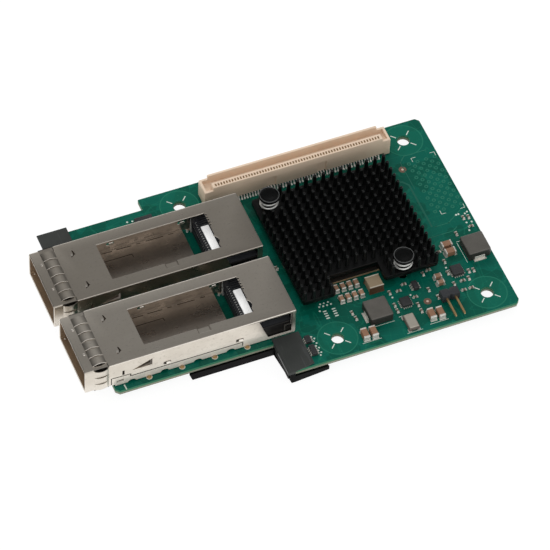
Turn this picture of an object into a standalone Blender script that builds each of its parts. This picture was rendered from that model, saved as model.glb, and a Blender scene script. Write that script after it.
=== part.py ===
# Converged ethernet adapter: a mezzanine network card with two pluggable-module ports,
# a pin-fin heat sink on its controller and a board-to-board connector along its back edge.
#
# Sizes and places are in millimetres in the board's frame. X runs along the card from its port
# end, Y from the front long edge to the back one, and Z up from the board's top face. The empty
# named card moves all of it so that the origin is the middle of the card's box, at its bottom.

import math

import bmesh
import bpy
from mathutils import Vector

MM = 0.001
GAP = 0.3
ROUND_SIDES = 16

# Circuit board: a rectangle with its front and back edges stepped in at the port end
BOARD_LENGTH = 110.0
BOARD_WIDTH = 68.0
BOARD_THICKNESS = 1.57
BOARD_CHAMFER = 1.0
FRONT_STEP_X = 44.0
FRONT_STEP_DEPTH = 10.1
BACK_STEP_X = 28.0
BACK_STEP_DEPTH = 3.7
SCREW_HOLE_DIAMETER = 3.5
SCREW_HOLE_RIGHT_INSET = 6.9
SCREW_HOLE_EDGE_INSET = 6.0
FRONT_LEFT_HOLE_X = 60.2
BACK_LEFT_HOLE_X = 37.7

# Port cages: folded sheet, standing on the board and overhanging its port end
CAGE_WIDTH = 19.34
CAGE_HEIGHT = 9.3
CAGE_SHEET = 0.3
CAGE_OVERHANG = 8.0
CAGE_BACK_X = 50.6
CAGE_SPACING = 3.56
CAGE_FRONT_Y = 11.83
CAGE_MOUTH_LIFT = 0.9
COLLAR_LENGTH = 2.5
SINK_WINDOW_X = 9.5
SINK_WINDOW_LENGTH = 30.5
SINK_WINDOW_MARGIN = 3.52
WINDOW_NOTCH_X = 24.1
WINDOW_NOTCH_LENGTH = 3.4
WINDOW_NOTCH_DEPTH = 1.7
SIDE_OPENING_TOP_X = 40.2
SIDE_OPENING_BOTTOM_X = 43.0
SIDE_OPENING_TOP = 8.7
LOUVRE_X = 4.8
LOUVRE_LENGTH = 5.5
LOUVRE_BOTTOM = 5.0
LOUVRE_HEIGHT = 2.3
STOP_TAB_X = 2.2
STOP_TAB_LENGTH = 0.8
STOP_TAB_WIDTH = 1.7
STOP_TAB_HEIGHT = 0.35
STOP_TAB_INSET = 4.2
TAIL_COUNT = 4
TAIL_FIRST_X = 9.6
TAIL_PITCH = 9.13
TAIL_WIDTH = 0.8
TAIL_REACH = 1.2
TAIL_HOLE_DIAMETER = 1.6

# Spring fingers on the cage mouths
TOP_FINGERS = 6
SIDE_FINGERS = 3
FINGER_CORNER = 1.27
FINGER_SLIT = 0.35
FINGER_LENGTH = 4.0
FINGER_BULGE = 0.85
FINGER_STEPS = 4
FINGER_ROOT = 0.2

# Cage floor, port connector and the film on it
FLOOR_BACK_X = 36.0
PORT_X = 38.1
PORT_DEPTH = 11.6
PORT_TOP = 4.9
PORT_PITCH = 0.8
PORT_SLOT_WIDTH = 0.4
PORT_SLOT_DEPTH = 0.9
PORT_MOUTH_MARGIN = 1.57
PORT_MOUTH_BOTTOM = 2.0
PORT_MOUTH_HEIGHT = 1.4
PORT_MOUTH_DEPTH = 6.0
FILM_SETBACK = 0.95
FILM_LENGTH = 5.0
FILM_WIDTH = 10.8
FILM_THICKNESS = 0.2

# Board-to-board connector: a long housing with a row of contacts on each side
CONNECTOR_X = 43.75
CONNECTOR_LENGTH = 53.95
CONNECTOR_BACK_INSET = 9.05
CONNECTOR_DEPTH = 5.0
CONNECTOR_END_TOP = 6.1
CONNECTOR_TOP = 7.4
CONNECTOR_RAISED_INSET = 2.4
CONNECTOR_FOOT_LENGTH = 1.6
CONNECTOR_UNDERSIDE = 1.0
CONNECTOR_BAR_WIDTH = 1.85
CONNECTOR_WALL = 0.65
CONNECTOR_CAVITY_FLOOR = 3.4
CONTACTS = 60
CONTACT_PITCH = 0.8
CONTACT_SLOT_LENGTH = 0.75
CONTACT_SLOT_WIDTH = 0.4
CONTACT_SLOT_DEPTH = 1.4
CONTACT_SLOT_INSET = 0.45
LEAD_WIDTH = 0.35
LEAD_REACH = 1.25
LEAD_THICKNESS = 0.25
LEAD_SPINE = 0.8

# Controller package and its heat sink
PACKAGE_SIZE = 25.0
PACKAGE_CENTRE = (71.2, 35.2)
PACKAGE_THICKNESS = 1.0
LID_SIZE = 16.0
LID_THICKNESS = 0.8
SINK_X = 54.9
SINK_Y = 17.05
SINK_LENGTH = 38.9
SINK_BACK_ROOM = 4.95
SINK_BASE = 1.5
SINK_CORNER = 1.3
SINK_NOTCH_X = 9.5
SINK_NOTCH_LENGTH = 13.9
SINK_NOTCH_DEPTH = 5.85
PIN_COLUMNS = 16
PIN_ROWS = 16
PIN_INSET = 0.62
PIN_HEIGHT = 3.5
PIN_ROOT_RADIUS = 0.6
PIN_TIP_RADIUS = 0.46
PIN_SIDES = 6
PIN_SINK = 0.3

# Push pins that clamp the heat sink to the board, each through a coil spring
PUSH_PIN_INSET_X = 4.05
PUSH_PIN_INSET_BACK = 3.0
PUSH_PIN_RIGHT_INSET = 9.4
PUSH_PIN_INSET_FRONT = 2.45
PUSH_PIN_ROOM_X = 3.6
PUSH_PIN_ROOM_Y = 3.2
PUSH_PIN_HEAD_RADIUS = 2.9
PUSH_PIN_HEAD_THICKNESS = 0.8
PUSH_PIN_TOP = 8.3
PUSH_PIN_SHANK_RADIUS = 0.9
PUSH_PIN_BARB_RADIUS = 1.1
PUSH_PIN_BARB_LENGTH = 1.5
SPRING_RADIUS = 1.85
SPRING_WIRE_RADIUS = 0.24
SPRING_TURNS = 2
SPRING_STEPS = 14

# Insulating tray: thin black sheet under the board, with skirts and flaps folded round its edges
TRAY_SHEET = 0.3
TRAY_DROP = 2.48
TRAY_SKIRT_X = 20.0
TRAY_SKIRT_SLANT = 0.9
TRAY_CORNER_END = 55.2
TRAY_CORNER_SLANT = 0.95
TRAY_CORNER_RISE = 1.1
TRAY_TONGUE = 1.9
TRAY_FLOOR_RIGHT = 98.0
TRAY_FLOOR_FRONT = 14.0
TRAY_FLOOR_BACK = 56.0
TRAY_FLOOR_LEFT = 2.5
FRONT_FLAP_END = 51.2
FRONT_FLAP_BACK = 11.3
BACK_FLAP_X = -1.8
BACK_FLAP_END = 6.6
BACK_FLAP_ROOM = 0.93
BACK_FLAP_REACH = 1.2

# Small parts, each (name, centre x, centre y, size x, size y, top)
CHIP_CAPACITOR_SIZE = (1.25, 2.1, 1.2)
CHIP_CAPACITOR_X = 65.95
CHIP_CAPACITOR_PITCH = 1.9
CHIP_CAPACITOR_ROWS = (20.8, 17.1)
CHIP_CAPACITOR_COLUMNS = 4
INDUCTOR_SIZE = (6.4, 6.6, 3.0)
SMALL_PARTS = (
    ("bulk_capacitor", 75.7, 18.3, 4.1, 4.0, 2.6),
    ("large_capacitor_1", 67.1, 4.0, 1.7, 3.3, 1.7),
    ("large_capacitor_2", 69.5, 3.9, 1.7, 3.3, 1.7),
    ("large_capacitor_3", 86.1, 3.9, 1.8, 3.2, 1.7),
    ("large_capacitor_4", 88.5, 3.6, 1.8, 3.2, 1.7),
    ("large_capacitor_5", 99.1, 23.9, 3.0, 1.8, 1.7),
    ("large_capacitor_6", 99.1, 21.4, 3.0, 1.8, 1.7),
    ("medium_capacitor_1", 92.7, 15.1, 2.1, 1.3, 1.3),
    ("medium_capacitor_2", 92.6, 12.9, 2.1, 1.3, 1.3),
    ("clock_oscillator", 80.1, 3.6, 3.0, 4.9, 1.4),
    ("power_stage", 98.3, 15.2, 3.1, 3.1, 1.2),
    ("power_controller", 81.4, 10.3, 2.8, 2.8, 1.1),
    ("supervisor_chip", 85.9, 14.4, 1.5, 2.6, 1.2),
    ("level_shifter_1", 52.5, 7.9, 1.5, 2.2, 1.1),
    ("level_shifter_2", 52.5, 4.2, 1.5, 3.2, 1.1),
)
MEMORY_CHIP_X = 26.8
MEMORY_CHIP_LENGTH = 4.9
MEMORY_CHIP_SHARE = 0.38
MEMORY_CHIP_TOP = 1.3
INDUCTORS = (
    ("core_inductor", 73.0, 9.5),
    ("supply_inductor", 105.9, 20.4),
)

# Right-angle pin header
HEADER_X = 92.9
HEADER_Y = 6.6
HEADER_DEPTH = 2.5
HEADER_TOP = 2.8
HEADER_PITCH = 2.5
HEADER_PIN = 0.64
HEADER_PIN_REACH = 6.1
HEADER_PIN_HEIGHT = 1.55
HEADER_PIN_HOLE = 1.5
HEADER_NOTCH = 0.5

# Heights and places that several pieces share
BOARD_UNDERSIDE = -BOARD_THICKNESS
TRAY_BOTTOM = BOARD_UNDERSIDE - TRAY_DROP
TRAY_FLOOR_TOP = TRAY_BOTTOM + TRAY_SHEET
CAGE_X = -CAGE_OVERHANG
SHELL_X = CAGE_X + COLLAR_LENGTH + GAP
FINGER_ROOM_END = CAGE_X + COLLAR_LENGTH + FINGER_LENGTH + GAP
PACKAGE_TOP = GAP + PACKAGE_THICKNESS
LID_TOP = PACKAGE_TOP + GAP + LID_THICKNESS
SINK_BOTTOM = LID_TOP + GAP
SINK_TOP = SINK_BOTTOM + SINK_BASE
REAR_CAGE_Y = CAGE_FRONT_Y + CAGE_WIDTH + CAGE_SPACING
REAR_CAGE_BACK = REAR_CAGE_Y + CAGE_WIDTH
CAGE_POSITIONS = (("front", CAGE_FRONT_Y), ("rear", REAR_CAGE_Y))
BACK_EDGE = BOARD_WIDTH - BACK_STEP_DEPTH
TOP_FINGER_PITCH = (CAGE_WIDTH - 2 * FINGER_CORNER) / TOP_FINGERS
SIDE_FINGER_PITCH = (CAGE_HEIGHT - CAGE_MOUTH_LIFT) / SIDE_FINGERS
PORT_MOUTH_WIDTH = CAGE_WIDTH - 2 * PORT_MOUTH_MARGIN
PORT_CONTACTS = int(PORT_MOUTH_WIDTH / PORT_PITCH) - 1
CONNECTOR_Y = BOARD_WIDTH - CONNECTOR_BACK_INSET
SINK_WIDTH = CONNECTOR_Y - SINK_BACK_ROOM - SINK_Y
PUSH_PINS = (
    ("left", SINK_X + PUSH_PIN_INSET_X, SINK_Y + SINK_WIDTH - PUSH_PIN_INSET_BACK),
    ("right", SINK_X + SINK_LENGTH - PUSH_PIN_RIGHT_INSET, SINK_Y + PUSH_PIN_INSET_FRONT),
)
SCREW_HOLES = (
    (BOARD_LENGTH - SCREW_HOLE_RIGHT_INSET, SCREW_HOLE_EDGE_INSET),
    (BOARD_LENGTH - SCREW_HOLE_RIGHT_INSET, BOARD_WIDTH - SCREW_HOLE_EDGE_INSET),
    (FRONT_LEFT_HOLE_X, SCREW_HOLE_EDGE_INSET),
    (BACK_LEFT_HOLE_X, BOARD_WIDTH - SCREW_HOLE_EDGE_INSET),
)


# Scene, materials and mesh helpers

for stale in list(bpy.data.objects):
    bpy.data.objects.remove(stale)

card = bpy.data.objects.new("card", None)
card.location = (
    -(CAGE_X + BOARD_LENGTH) / 2 * MM,
    -(BOARD_WIDTH - GAP - TRAY_SHEET) / 2 * MM,
    -TRAY_BOTTOM * MM,
)
bpy.context.scene.collection.objects.link(card)


def make_material(name, color, roughness, metallic=0.0):
    material = bpy.data.materials.new(name)
    material.use_nodes = True
    surface = material.node_tree.nodes["Principled BSDF"]
    surface.inputs["Base Color"].default_value = (*color, 1.0)
    surface.inputs["Roughness"].default_value = roughness
    surface.inputs["Metallic"].default_value = metallic
    return material


SOLDER_MASK = make_material("solder_mask", (0.012, 0.15, 0.09), 0.4)
NICKEL_SHEET = make_material("nickel_sheet", (0.36, 0.33, 0.29), 0.35, 1.0)
BLACK_PLASTIC = make_material("black_plastic", (0.02, 0.02, 0.02), 0.5)
WHITE_FILM = make_material("white_film", (0.85, 0.85, 0.85), 0.5)
CREAM_PLASTIC = make_material("cream_plastic", (0.55, 0.44, 0.33), 0.5)
TINNED_LEAD = make_material("tinned_lead", (0.75, 0.74, 0.72), 0.3, 1.0)
LAMINATE = make_material("laminate", (0.25, 0.2, 0.12), 0.6)
BLACK_ANODISED = make_material("black_anodised", (0.012, 0.012, 0.012), 0.45, 0.3)
SPRING_STEEL = make_material("spring_steel", (0.7, 0.7, 0.7), 0.25, 1.0)
INSULATOR = make_material("insulator", (0.045, 0.047, 0.05), 0.45)
FERRITE = make_material("ferrite", (0.11, 0.1, 0.09), 0.6)
CERAMIC = make_material("ceramic", (0.4, 0.23, 0.12), 0.5)
MOULDED_CHIP = make_material("moulded_chip", (0.03, 0.03, 0.03), 0.55)
GOLD_PLATE = make_material("gold_plate", (0.75, 0.52, 0.22), 0.3, 1.0)
METAL_CAN = make_material("metal_can", (0.6, 0.58, 0.54), 0.35, 1.0)


def add_prism(mesh, outline, low, high, axis="Z"):
    """Add a closed prism whose outline lies across the axis and turns anticlockwise round it."""
    ring = [[], []]
    for level, height in enumerate((low, high)):
        for first, second in outline:
            place = {
                "X": (height, first, second),
                "Y": (second, height, first),
                "Z": (first, second, height),
            }[axis]
            ring[level].append(mesh.verts.new(Vector(place) * MM))
    count = len(outline)
    mesh.faces.new(reversed(ring[0]))
    mesh.faces.new(ring[1])
    for index in range(count):
        after = (index + 1) % count
        mesh.faces.new((ring[0][index], ring[0][after], ring[1][after], ring[1][index]))


def add_box(mesh, x, y, z):
    """Add a box that fills the given ranges of X, Y and Z."""
    outline = ((x[0], y[0]), (x[1], y[0]), (x[1], y[1]), (x[0], y[1]))
    add_prism(mesh, outline, z[0], z[1])


def circle(centre_x, centre_y, radius, sides, turn=0.0):
    angles = [turn + 2 * math.pi * step / sides for step in range(sides)]
    return [(centre_x + radius * math.cos(a), centre_y + radius * math.sin(a)) for a in angles]


def add_turned(mesh, centre_x, centre_y, profile, sides=ROUND_SIDES):
    """Add a closed turned solid; the profile is (radius, height) pairs from bottom to top."""
    rings = []
    for radius, height in profile:
        points = circle(centre_x, centre_y, radius, sides)
        rings.append([mesh.verts.new(Vector((x, y, height)) * MM) for x, y in points])
    mesh.faces.new(reversed(rings[0]))
    mesh.faces.new(rings[-1])
    for lower, upper in zip(rings, rings[1:]):
        for index in range(sides):
            after = (index + 1) % sides
            mesh.faces.new((lower[index], lower[after], upper[after], upper[index]))


def rounded(points, radii, steps=4):
    """Round the corners of an anticlockwise outline, each by its own radius."""
    outline = []
    count = len(points)
    for index, (corner, radius) in enumerate(zip(points, radii)):
        corner = Vector(corner)
        if radius == 0:
            outline.append(tuple(corner))
            continue
        before = (Vector(points[index - 1]) - corner).normalized()
        after = (Vector(points[(index + 1) % count]) - corner).normalized()
        start = corner + before * radius
        end = corner + after * radius
        centre = start + end - corner
        for step in range(steps + 1):
            angle = math.pi / 2 * step / steps
            arm = (start - centre) * math.cos(angle) + (end - centre) * math.sin(angle)
            outline.append(tuple(centre + arm))
    return outline


def make_object(name, mesh, material, y=0.0):
    data = bpy.data.meshes.new(name)
    mesh.to_mesh(data)
    mesh.free()
    piece = bpy.data.objects.new(name, data)
    data.materials.append(material)
    bpy.context.scene.collection.objects.link(piece)
    piece.parent = card
    piece.location.y = y * MM
    return piece


def combine(piece, mesh, operation):
    """Cut the mesh out of the piece, or fuse it on, with a Boolean modifier."""
    label = f"{piece.name}_{operation.lower()}_{len(piece.modifiers)}"
    tool = make_object(label, mesh, piece.data.materials[0], piece.location.y / MM)
    tool.hide_render = True
    tool.display_type = "WIRE"
    modifier = piece.modifiers.new(label, "BOOLEAN")
    modifier.operation = operation
    modifier.solver = "EXACT"
    modifier.object = tool


def cut(piece, mesh):
    combine(piece, mesh, "DIFFERENCE")


def fuse(piece, mesh):
    combine(piece, mesh, "UNION")


def shade_round(piece):
    piece.data.shade_smooth()
    piece.data.set_sharp_from_angle(angle=math.radians(40))


# Circuit board

def tail_places(wall_y):
    return [(TAIL_FIRST_X + TAIL_PITCH * step, wall_y) for step in range(TAIL_COUNT)]


def cage_wall_lines():
    """Middle lines of the cages' side walls, from the cage's near face and in the board's frame."""
    near = CAGE_SHEET / 2
    return near, CAGE_WIDTH - near


def header_pin_columns():
    return (HEADER_X - HEADER_PITCH / 2, HEADER_X + HEADER_PITCH / 2)


HEADER_LEG_Y = HEADER_Y + HEADER_DEPTH + GAP + HEADER_PIN / 2

board = bmesh.new()
edge = BOARD_CHAMFER
add_prism(board, (
    (edge, FRONT_STEP_DEPTH),
    (FRONT_STEP_X, FRONT_STEP_DEPTH),
    (FRONT_STEP_X, 0.0),
    (BOARD_LENGTH - edge, 0.0),
    (BOARD_LENGTH, edge),
    (BOARD_LENGTH, BOARD_WIDTH - edge),
    (BOARD_LENGTH - edge, BOARD_WIDTH),
    (BACK_STEP_X, BOARD_WIDTH),
    (BACK_STEP_X, BACK_EDGE),
    (0.0, BACK_EDGE),
    (0.0, FRONT_STEP_DEPTH + edge),
), BOARD_UNDERSIDE, 0.0)
circuit_board = make_object("circuit_board", board, SOLDER_MASK)

holes = bmesh.new()
hole_depth = (BOARD_UNDERSIDE - 1.0, 1.0)
for x, y in SCREW_HOLES:
    add_prism(holes, circle(x, y, SCREW_HOLE_DIAMETER / 2, ROUND_SIDES), *hole_depth)
for _, x, y in PUSH_PINS:
    hole_radius = PUSH_PIN_BARB_RADIUS + GAP
    add_prism(holes, circle(x, y, hole_radius, ROUND_SIDES), *hole_depth)
for _, cage_y in CAGE_POSITIONS:
    for wall_y in cage_wall_lines():
        for x, y in tail_places(cage_y + wall_y):
            add_prism(holes, circle(x, y, TAIL_HOLE_DIAMETER / 2, 8), *hole_depth)
for x in header_pin_columns():
    add_prism(holes, circle(x, HEADER_LEG_Y, HEADER_PIN_HOLE / 2, 8), *hole_depth)
cut(circuit_board, holes)


# Port cages

def finger_field(count, pitch, middle):
    """Middles of a row of fingers, spread evenly about the middle of a wall."""
    first = middle - pitch * (count - 1) / 2
    return [first + pitch * step for step in range(count)]


def finger_profile(face):
    """Arched strip that leaves the collar level with a wall's face and comes back down to it."""
    start = CAGE_X + COLLAR_LENGTH
    outer = [(start - FINGER_ROOT, face)]
    inner = [(start - FINGER_ROOT, face - CAGE_SHEET)]
    for step in range(FINGER_STEPS + 1):
        share = step / FINGER_STEPS
        lift = FINGER_BULGE * math.sin(math.pi * share)
        x = start + FINGER_LENGTH * share
        outer.append((x, face + lift))
        inner.append((x, face + lift - CAGE_SHEET))
    return inner + outer[::-1]


def make_shell(name, cage_y):
    mesh = bmesh.new()
    add_box(mesh, (SHELL_X, CAGE_BACK_X), (0.0, CAGE_WIDTH), (GAP, CAGE_HEIGHT))
    shell = make_object(name, mesh, NICKEL_SHEET, cage_y)

    # The inside, open at the mouth and underneath, and the step up over the board's end
    hollow = bmesh.new()
    add_box(
        hollow,
        (SHELL_X - 1.0, CAGE_BACK_X - CAGE_SHEET),
        (CAGE_SHEET, CAGE_WIDTH - CAGE_SHEET),
        (-1.0, CAGE_HEIGHT - CAGE_SHEET),
    )
    cut(shell, hollow)
    step = bmesh.new()
    add_box(step, (SHELL_X - 1.0, GAP), (-1.0, CAGE_WIDTH + 1.0), (-1.0, CAGE_MOUTH_LIFT))
    cut(shell, step)

    # The heat-sink window with the notch in its near edge
    middle = CAGE_WIDTH / 2
    near_edge = SINK_WINDOW_MARGIN
    far_edge = CAGE_WIDTH - SINK_WINDOW_MARGIN
    window = bmesh.new()
    notch_end = WINDOW_NOTCH_X + WINDOW_NOTCH_LENGTH
    add_prism(window, (
        (SINK_WINDOW_X, near_edge),
        (WINDOW_NOTCH_X, near_edge),
        (WINDOW_NOTCH_X, near_edge - WINDOW_NOTCH_DEPTH),
        (notch_end, near_edge - WINDOW_NOTCH_DEPTH),
        (notch_end, near_edge),
        (SINK_WINDOW_X + SINK_WINDOW_LENGTH, near_edge),
        (SINK_WINDOW_X + SINK_WINDOW_LENGTH, far_edge),
        (SINK_WINDOW_X, far_edge),
    ), CAGE_HEIGHT - 1.0, CAGE_HEIGHT + 1.0)
    cut(shell, window)

    # Openings through both side walls: by the port connector, and the bent-out louvre
    through = (-1.0, CAGE_WIDTH + 1.0)
    back_edge = CAGE_BACK_X - 1.2
    sides = bmesh.new()
    add_prism(sides, (
        (CAGE_MOUTH_LIFT, SIDE_OPENING_BOTTOM_X),
        (SIDE_OPENING_TOP, SIDE_OPENING_TOP_X),
        (SIDE_OPENING_TOP, back_edge),
        (CAGE_MOUTH_LIFT, back_edge),
    ), *through, axis="Y")
    add_prism(sides, (
        (LOUVRE_BOTTOM, LOUVRE_X),
        (LOUVRE_BOTTOM + LOUVRE_HEIGHT, LOUVRE_X + LOUVRE_LENGTH),
        (LOUVRE_BOTTOM, LOUVRE_X + LOUVRE_LENGTH),
    ), *through, axis="Y")
    cut(shell, sides)

    # Room in the walls for the spring fingers to bend into
    across = TOP_FINGER_PITCH * TOP_FINGERS / 2
    up = SIDE_FINGER_PITCH * SIDE_FINGERS / 2
    mid_height = (CAGE_MOUTH_LIFT + CAGE_HEIGHT) / 2
    top_room = bmesh.new()
    add_box(
        top_room,
        (SHELL_X - 1.0, FINGER_ROOM_END),
        (middle - across, middle + across),
        (CAGE_HEIGHT - 1.0, CAGE_HEIGHT + 1.0),
    )
    cut(shell, top_room)
    side_room = bmesh.new()
    add_box(
        side_room,
        (SHELL_X - 1.0, FINGER_ROOM_END),
        through,
        (mid_height - up, mid_height + up),
    )
    cut(shell, side_room)

    # Stop tabs pressed up from the top, and the tails that hold the cage in the board
    for tab_y in (STOP_TAB_INSET, CAGE_WIDTH - STOP_TAB_INSET):
        tab = bmesh.new()
        add_box(
            tab,
            (STOP_TAB_X, STOP_TAB_X + STOP_TAB_LENGTH),
            (tab_y - STOP_TAB_WIDTH / 2, tab_y + STOP_TAB_WIDTH / 2),
            (CAGE_HEIGHT - CAGE_SHEET / 2, CAGE_HEIGHT + STOP_TAB_HEIGHT),
        )
        fuse(shell, tab)
    for wall_y in cage_wall_lines():
        tails = bmesh.new()
        for x, y in tail_places(wall_y):
            add_box(
                tails,
                (x - TAIL_WIDTH / 2, x + TAIL_WIDTH / 2),
                (y - CAGE_SHEET / 2, y + CAGE_SHEET / 2),
                (BOARD_UNDERSIDE - TAIL_REACH, GAP * 2),
            )
        fuse(shell, tails)


def make_collar(name, cage_y):
    mesh = bmesh.new()
    back = CAGE_X + COLLAR_LENGTH
    add_box(mesh, (CAGE_X, back), (0.0, CAGE_WIDTH), (CAGE_MOUTH_LIFT, CAGE_HEIGHT))
    collar = make_object(name, mesh, NICKEL_SHEET, cage_y)
    mouth = bmesh.new()
    add_box(
        mouth,
        (CAGE_X - 1.0, back + 1.0),
        (CAGE_SHEET, CAGE_WIDTH - CAGE_SHEET),
        (CAGE_MOUTH_LIFT + CAGE_SHEET, CAGE_HEIGHT - CAGE_SHEET),
    )
    cut(collar, mouth)

    half_top = (TOP_FINGER_PITCH - FINGER_SLIT) / 2
    half_side = (SIDE_FINGER_PITCH - FINGER_SLIT) / 2
    mid_height = (CAGE_MOUTH_LIFT + CAGE_HEIGHT) / 2
    fingers = bmesh.new()
    for y in finger_field(TOP_FINGERS, TOP_FINGER_PITCH, CAGE_WIDTH / 2):
        # The profile is (x, z), and an outline across Y is (z, x)
        top = [(z, x) for x, z in finger_profile(CAGE_HEIGHT)]
        bottom = [(CAGE_MOUTH_LIFT + CAGE_HEIGHT - z, x) for z, x in top]
        add_prism(fingers, top[::-1], y - half_top, y + half_top, axis="Y")
        add_prism(fingers, bottom, y - half_top, y + half_top, axis="Y")
    for z in finger_field(SIDE_FINGERS, SIDE_FINGER_PITCH, mid_height):
        far_outline = finger_profile(CAGE_WIDTH)
        near_outline = [(x, CAGE_WIDTH - y) for x, y in far_outline]
        add_prism(fingers, far_outline, z - half_side, z + half_side)
        add_prism(fingers, near_outline[::-1], z - half_side, z + half_side)
    fuse(collar, fingers)


def make_cage_floor(name, cage_y):
    inset = CAGE_SHEET + GAP
    mesh = bmesh.new()
    add_box(
        mesh,
        (FINGER_ROOM_END, FLOOR_BACK_X),
        (inset, CAGE_WIDTH - inset),
        (CAGE_MOUTH_LIFT, CAGE_MOUTH_LIFT + CAGE_SHEET),
    )
    make_object(name, mesh, NICKEL_SHEET, cage_y)


def make_port_connector(name, cage_y):
    inset = CAGE_SHEET + GAP
    middle = CAGE_WIDTH / 2
    mesh = bmesh.new()
    add_box(mesh, (PORT_X, PORT_X + PORT_DEPTH), (inset, CAGE_WIDTH - inset), (GAP, PORT_TOP))
    connector = make_object(name, mesh, BLACK_PLASTIC, cage_y)
    mouth = bmesh.new()
    add_box(
        mouth,
        (PORT_X - 1.0, PORT_X + PORT_MOUTH_DEPTH),
        (middle - PORT_MOUTH_WIDTH / 2, middle + PORT_MOUTH_WIDTH / 2),
        (PORT_MOUTH_BOTTOM, PORT_MOUTH_BOTTOM + PORT_MOUTH_HEIGHT),
    )
    cut(connector, mouth)
    slots = bmesh.new()
    first = middle - PORT_PITCH * (PORT_CONTACTS - 1) / 2
    for step in range(PORT_CONTACTS):
        y = first + PORT_PITCH * step
        add_box(
            slots,
            (PORT_X - 1.0, PORT_X + PORT_SLOT_DEPTH),
            (y - PORT_SLOT_WIDTH / 2, y + PORT_SLOT_WIDTH / 2),
            (PORT_MOUTH_BOTTOM + PORT_MOUTH_HEIGHT / 2, PORT_TOP + 1.0),
        )
    cut(connector, slots)


def make_film(name, cage_y):
    middle = CAGE_WIDTH / 2
    mesh = bmesh.new()
    start = PORT_X + FILM_SETBACK
    add_box(
        mesh,
        (start, start + FILM_LENGTH),
        (middle - FILM_WIDTH / 2, middle + FILM_WIDTH / 2),
        (PORT_TOP + GAP, PORT_TOP + GAP + FILM_THICKNESS),
    )
    make_object(name, mesh, WHITE_FILM, cage_y)


for side, cage_y in CAGE_POSITIONS:
    make_shell(f"{side}_cage_shell", cage_y)
    make_collar(f"{side}_cage_spring_collar", cage_y)
    make_cage_floor(f"{side}_cage_floor", cage_y)
    make_port_connector(f"{side}_port_connector", cage_y)
    make_film(f"{side}_port_film", cage_y)


# Board-to-board connector

def make_board_connector():
    end = CONNECTOR_X + CONNECTOR_LENGTH
    back = CONNECTOR_Y + CONNECTOR_DEPTH
    raised = (CONNECTOR_X + CONNECTOR_RAISED_INSET, end - CONNECTOR_RAISED_INSET)
    cavity_y = (CONNECTOR_Y + CONNECTOR_BAR_WIDTH, back - CONNECTOR_WALL)
    mesh = bmesh.new()
    outline = (
        (GAP, CONNECTOR_X),
        (CONNECTOR_END_TOP, CONNECTOR_X),
        (CONNECTOR_END_TOP, raised[0]),
        (CONNECTOR_TOP, raised[0]),
        (CONNECTOR_TOP, raised[1]),
        (CONNECTOR_END_TOP, raised[1]),
        (CONNECTOR_END_TOP, end),
        (GAP, end),
        (GAP, end - CONNECTOR_FOOT_LENGTH),
        (CONNECTOR_UNDERSIDE, end - CONNECTOR_FOOT_LENGTH),
        (CONNECTOR_UNDERSIDE, CONNECTOR_X + CONNECTOR_FOOT_LENGTH),
        (GAP, CONNECTOR_X + CONNECTOR_FOOT_LENGTH),
    )
    add_prism(mesh, outline, CONNECTOR_Y, back, axis="Y")
    housing = make_object("board_connector", mesh, CREAM_PLASTIC)

    # The mating cavity runs between the contact bar and the back wall, with a pocket at each end
    cavity = bmesh.new()
    pocket_y = (CONNECTOR_Y + CONNECTOR_WALL, cavity_y[0])
    inside = (CONNECTOR_X + CONNECTOR_WALL, end - CONNECTOR_WALL)
    add_prism(cavity, (
        (inside[0], pocket_y[0]),
        (raised[0], pocket_y[0]),
        (raised[0], pocket_y[1]),
        (raised[1], pocket_y[1]),
        (raised[1], pocket_y[0]),
        (inside[1], pocket_y[0]),
        (inside[1], cavity_y[1]),
        (inside[0], cavity_y[1]),
    ), CONNECTOR_CAVITY_FLOOR, CONNECTOR_TOP + 1.0)
    cut(housing, cavity)

    slots = bmesh.new()
    slot_y = CONNECTOR_Y + CONTACT_SLOT_INSET
    for x in contact_columns():
        add_box(
            slots,
            (x - CONTACT_SLOT_WIDTH / 2, x + CONTACT_SLOT_WIDTH / 2),
            (slot_y, slot_y + CONTACT_SLOT_LENGTH),
            (CONNECTOR_TOP - CONTACT_SLOT_DEPTH, CONNECTOR_TOP + 1.0),
        )
    cut(housing, slots)


def contact_columns():
    middle = CONNECTOR_X + CONNECTOR_LENGTH / 2
    first = middle - CONTACT_PITCH * (CONTACTS - 1) / 2
    return [first + CONTACT_PITCH * step for step in range(CONTACTS)]


def make_contact_row(name, face_y, outward):
    """Soldered leads of one row, in one comb; outward is -1 to the front and 1 to the back."""
    spine = face_y - outward * (GAP + LEAD_SPINE)
    root = face_y - outward * GAP
    tip = face_y + outward * LEAD_REACH
    columns = contact_columns()
    outline = [(columns[0] - LEAD_WIDTH / 2, spine)]
    for x in columns:
        left = x - LEAD_WIDTH / 2
        right = x + LEAD_WIDTH / 2
        outline += [(left, root), (left, tip), (right, tip), (right, root)]
    outline.append((columns[-1] + LEAD_WIDTH / 2, spine))
    if outward > 0:
        outline.reverse()
    mesh = bmesh.new()
    add_prism(mesh, outline, GAP, GAP + LEAD_THICKNESS)
    make_object(name, mesh, TINNED_LEAD)


make_board_connector()
make_contact_row("connector_front_leads", CONNECTOR_Y, -1)
make_contact_row("connector_rear_leads", CONNECTOR_Y + CONNECTOR_DEPTH, 1)


# Controller package and heat sink

def add_square(mesh, size, low, high):
    x, y = PACKAGE_CENTRE
    half = size / 2
    add_box(mesh, (x - half, x + half), (y - half, y + half), (low, high))


package = bmesh.new()
add_square(package, PACKAGE_SIZE, GAP, PACKAGE_TOP)
make_object("controller_package", package, LAMINATE)
lid = bmesh.new()
add_square(lid, LID_SIZE, PACKAGE_TOP + GAP, LID_TOP)
make_object("controller_lid", lid, METAL_CAN)


def near_push_pin(x, y):
    return any(
        abs(x - pin_x) < PUSH_PIN_ROOM_X and abs(y - pin_y) < PUSH_PIN_ROOM_Y
        for _, pin_x, pin_y in PUSH_PINS
    )


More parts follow.
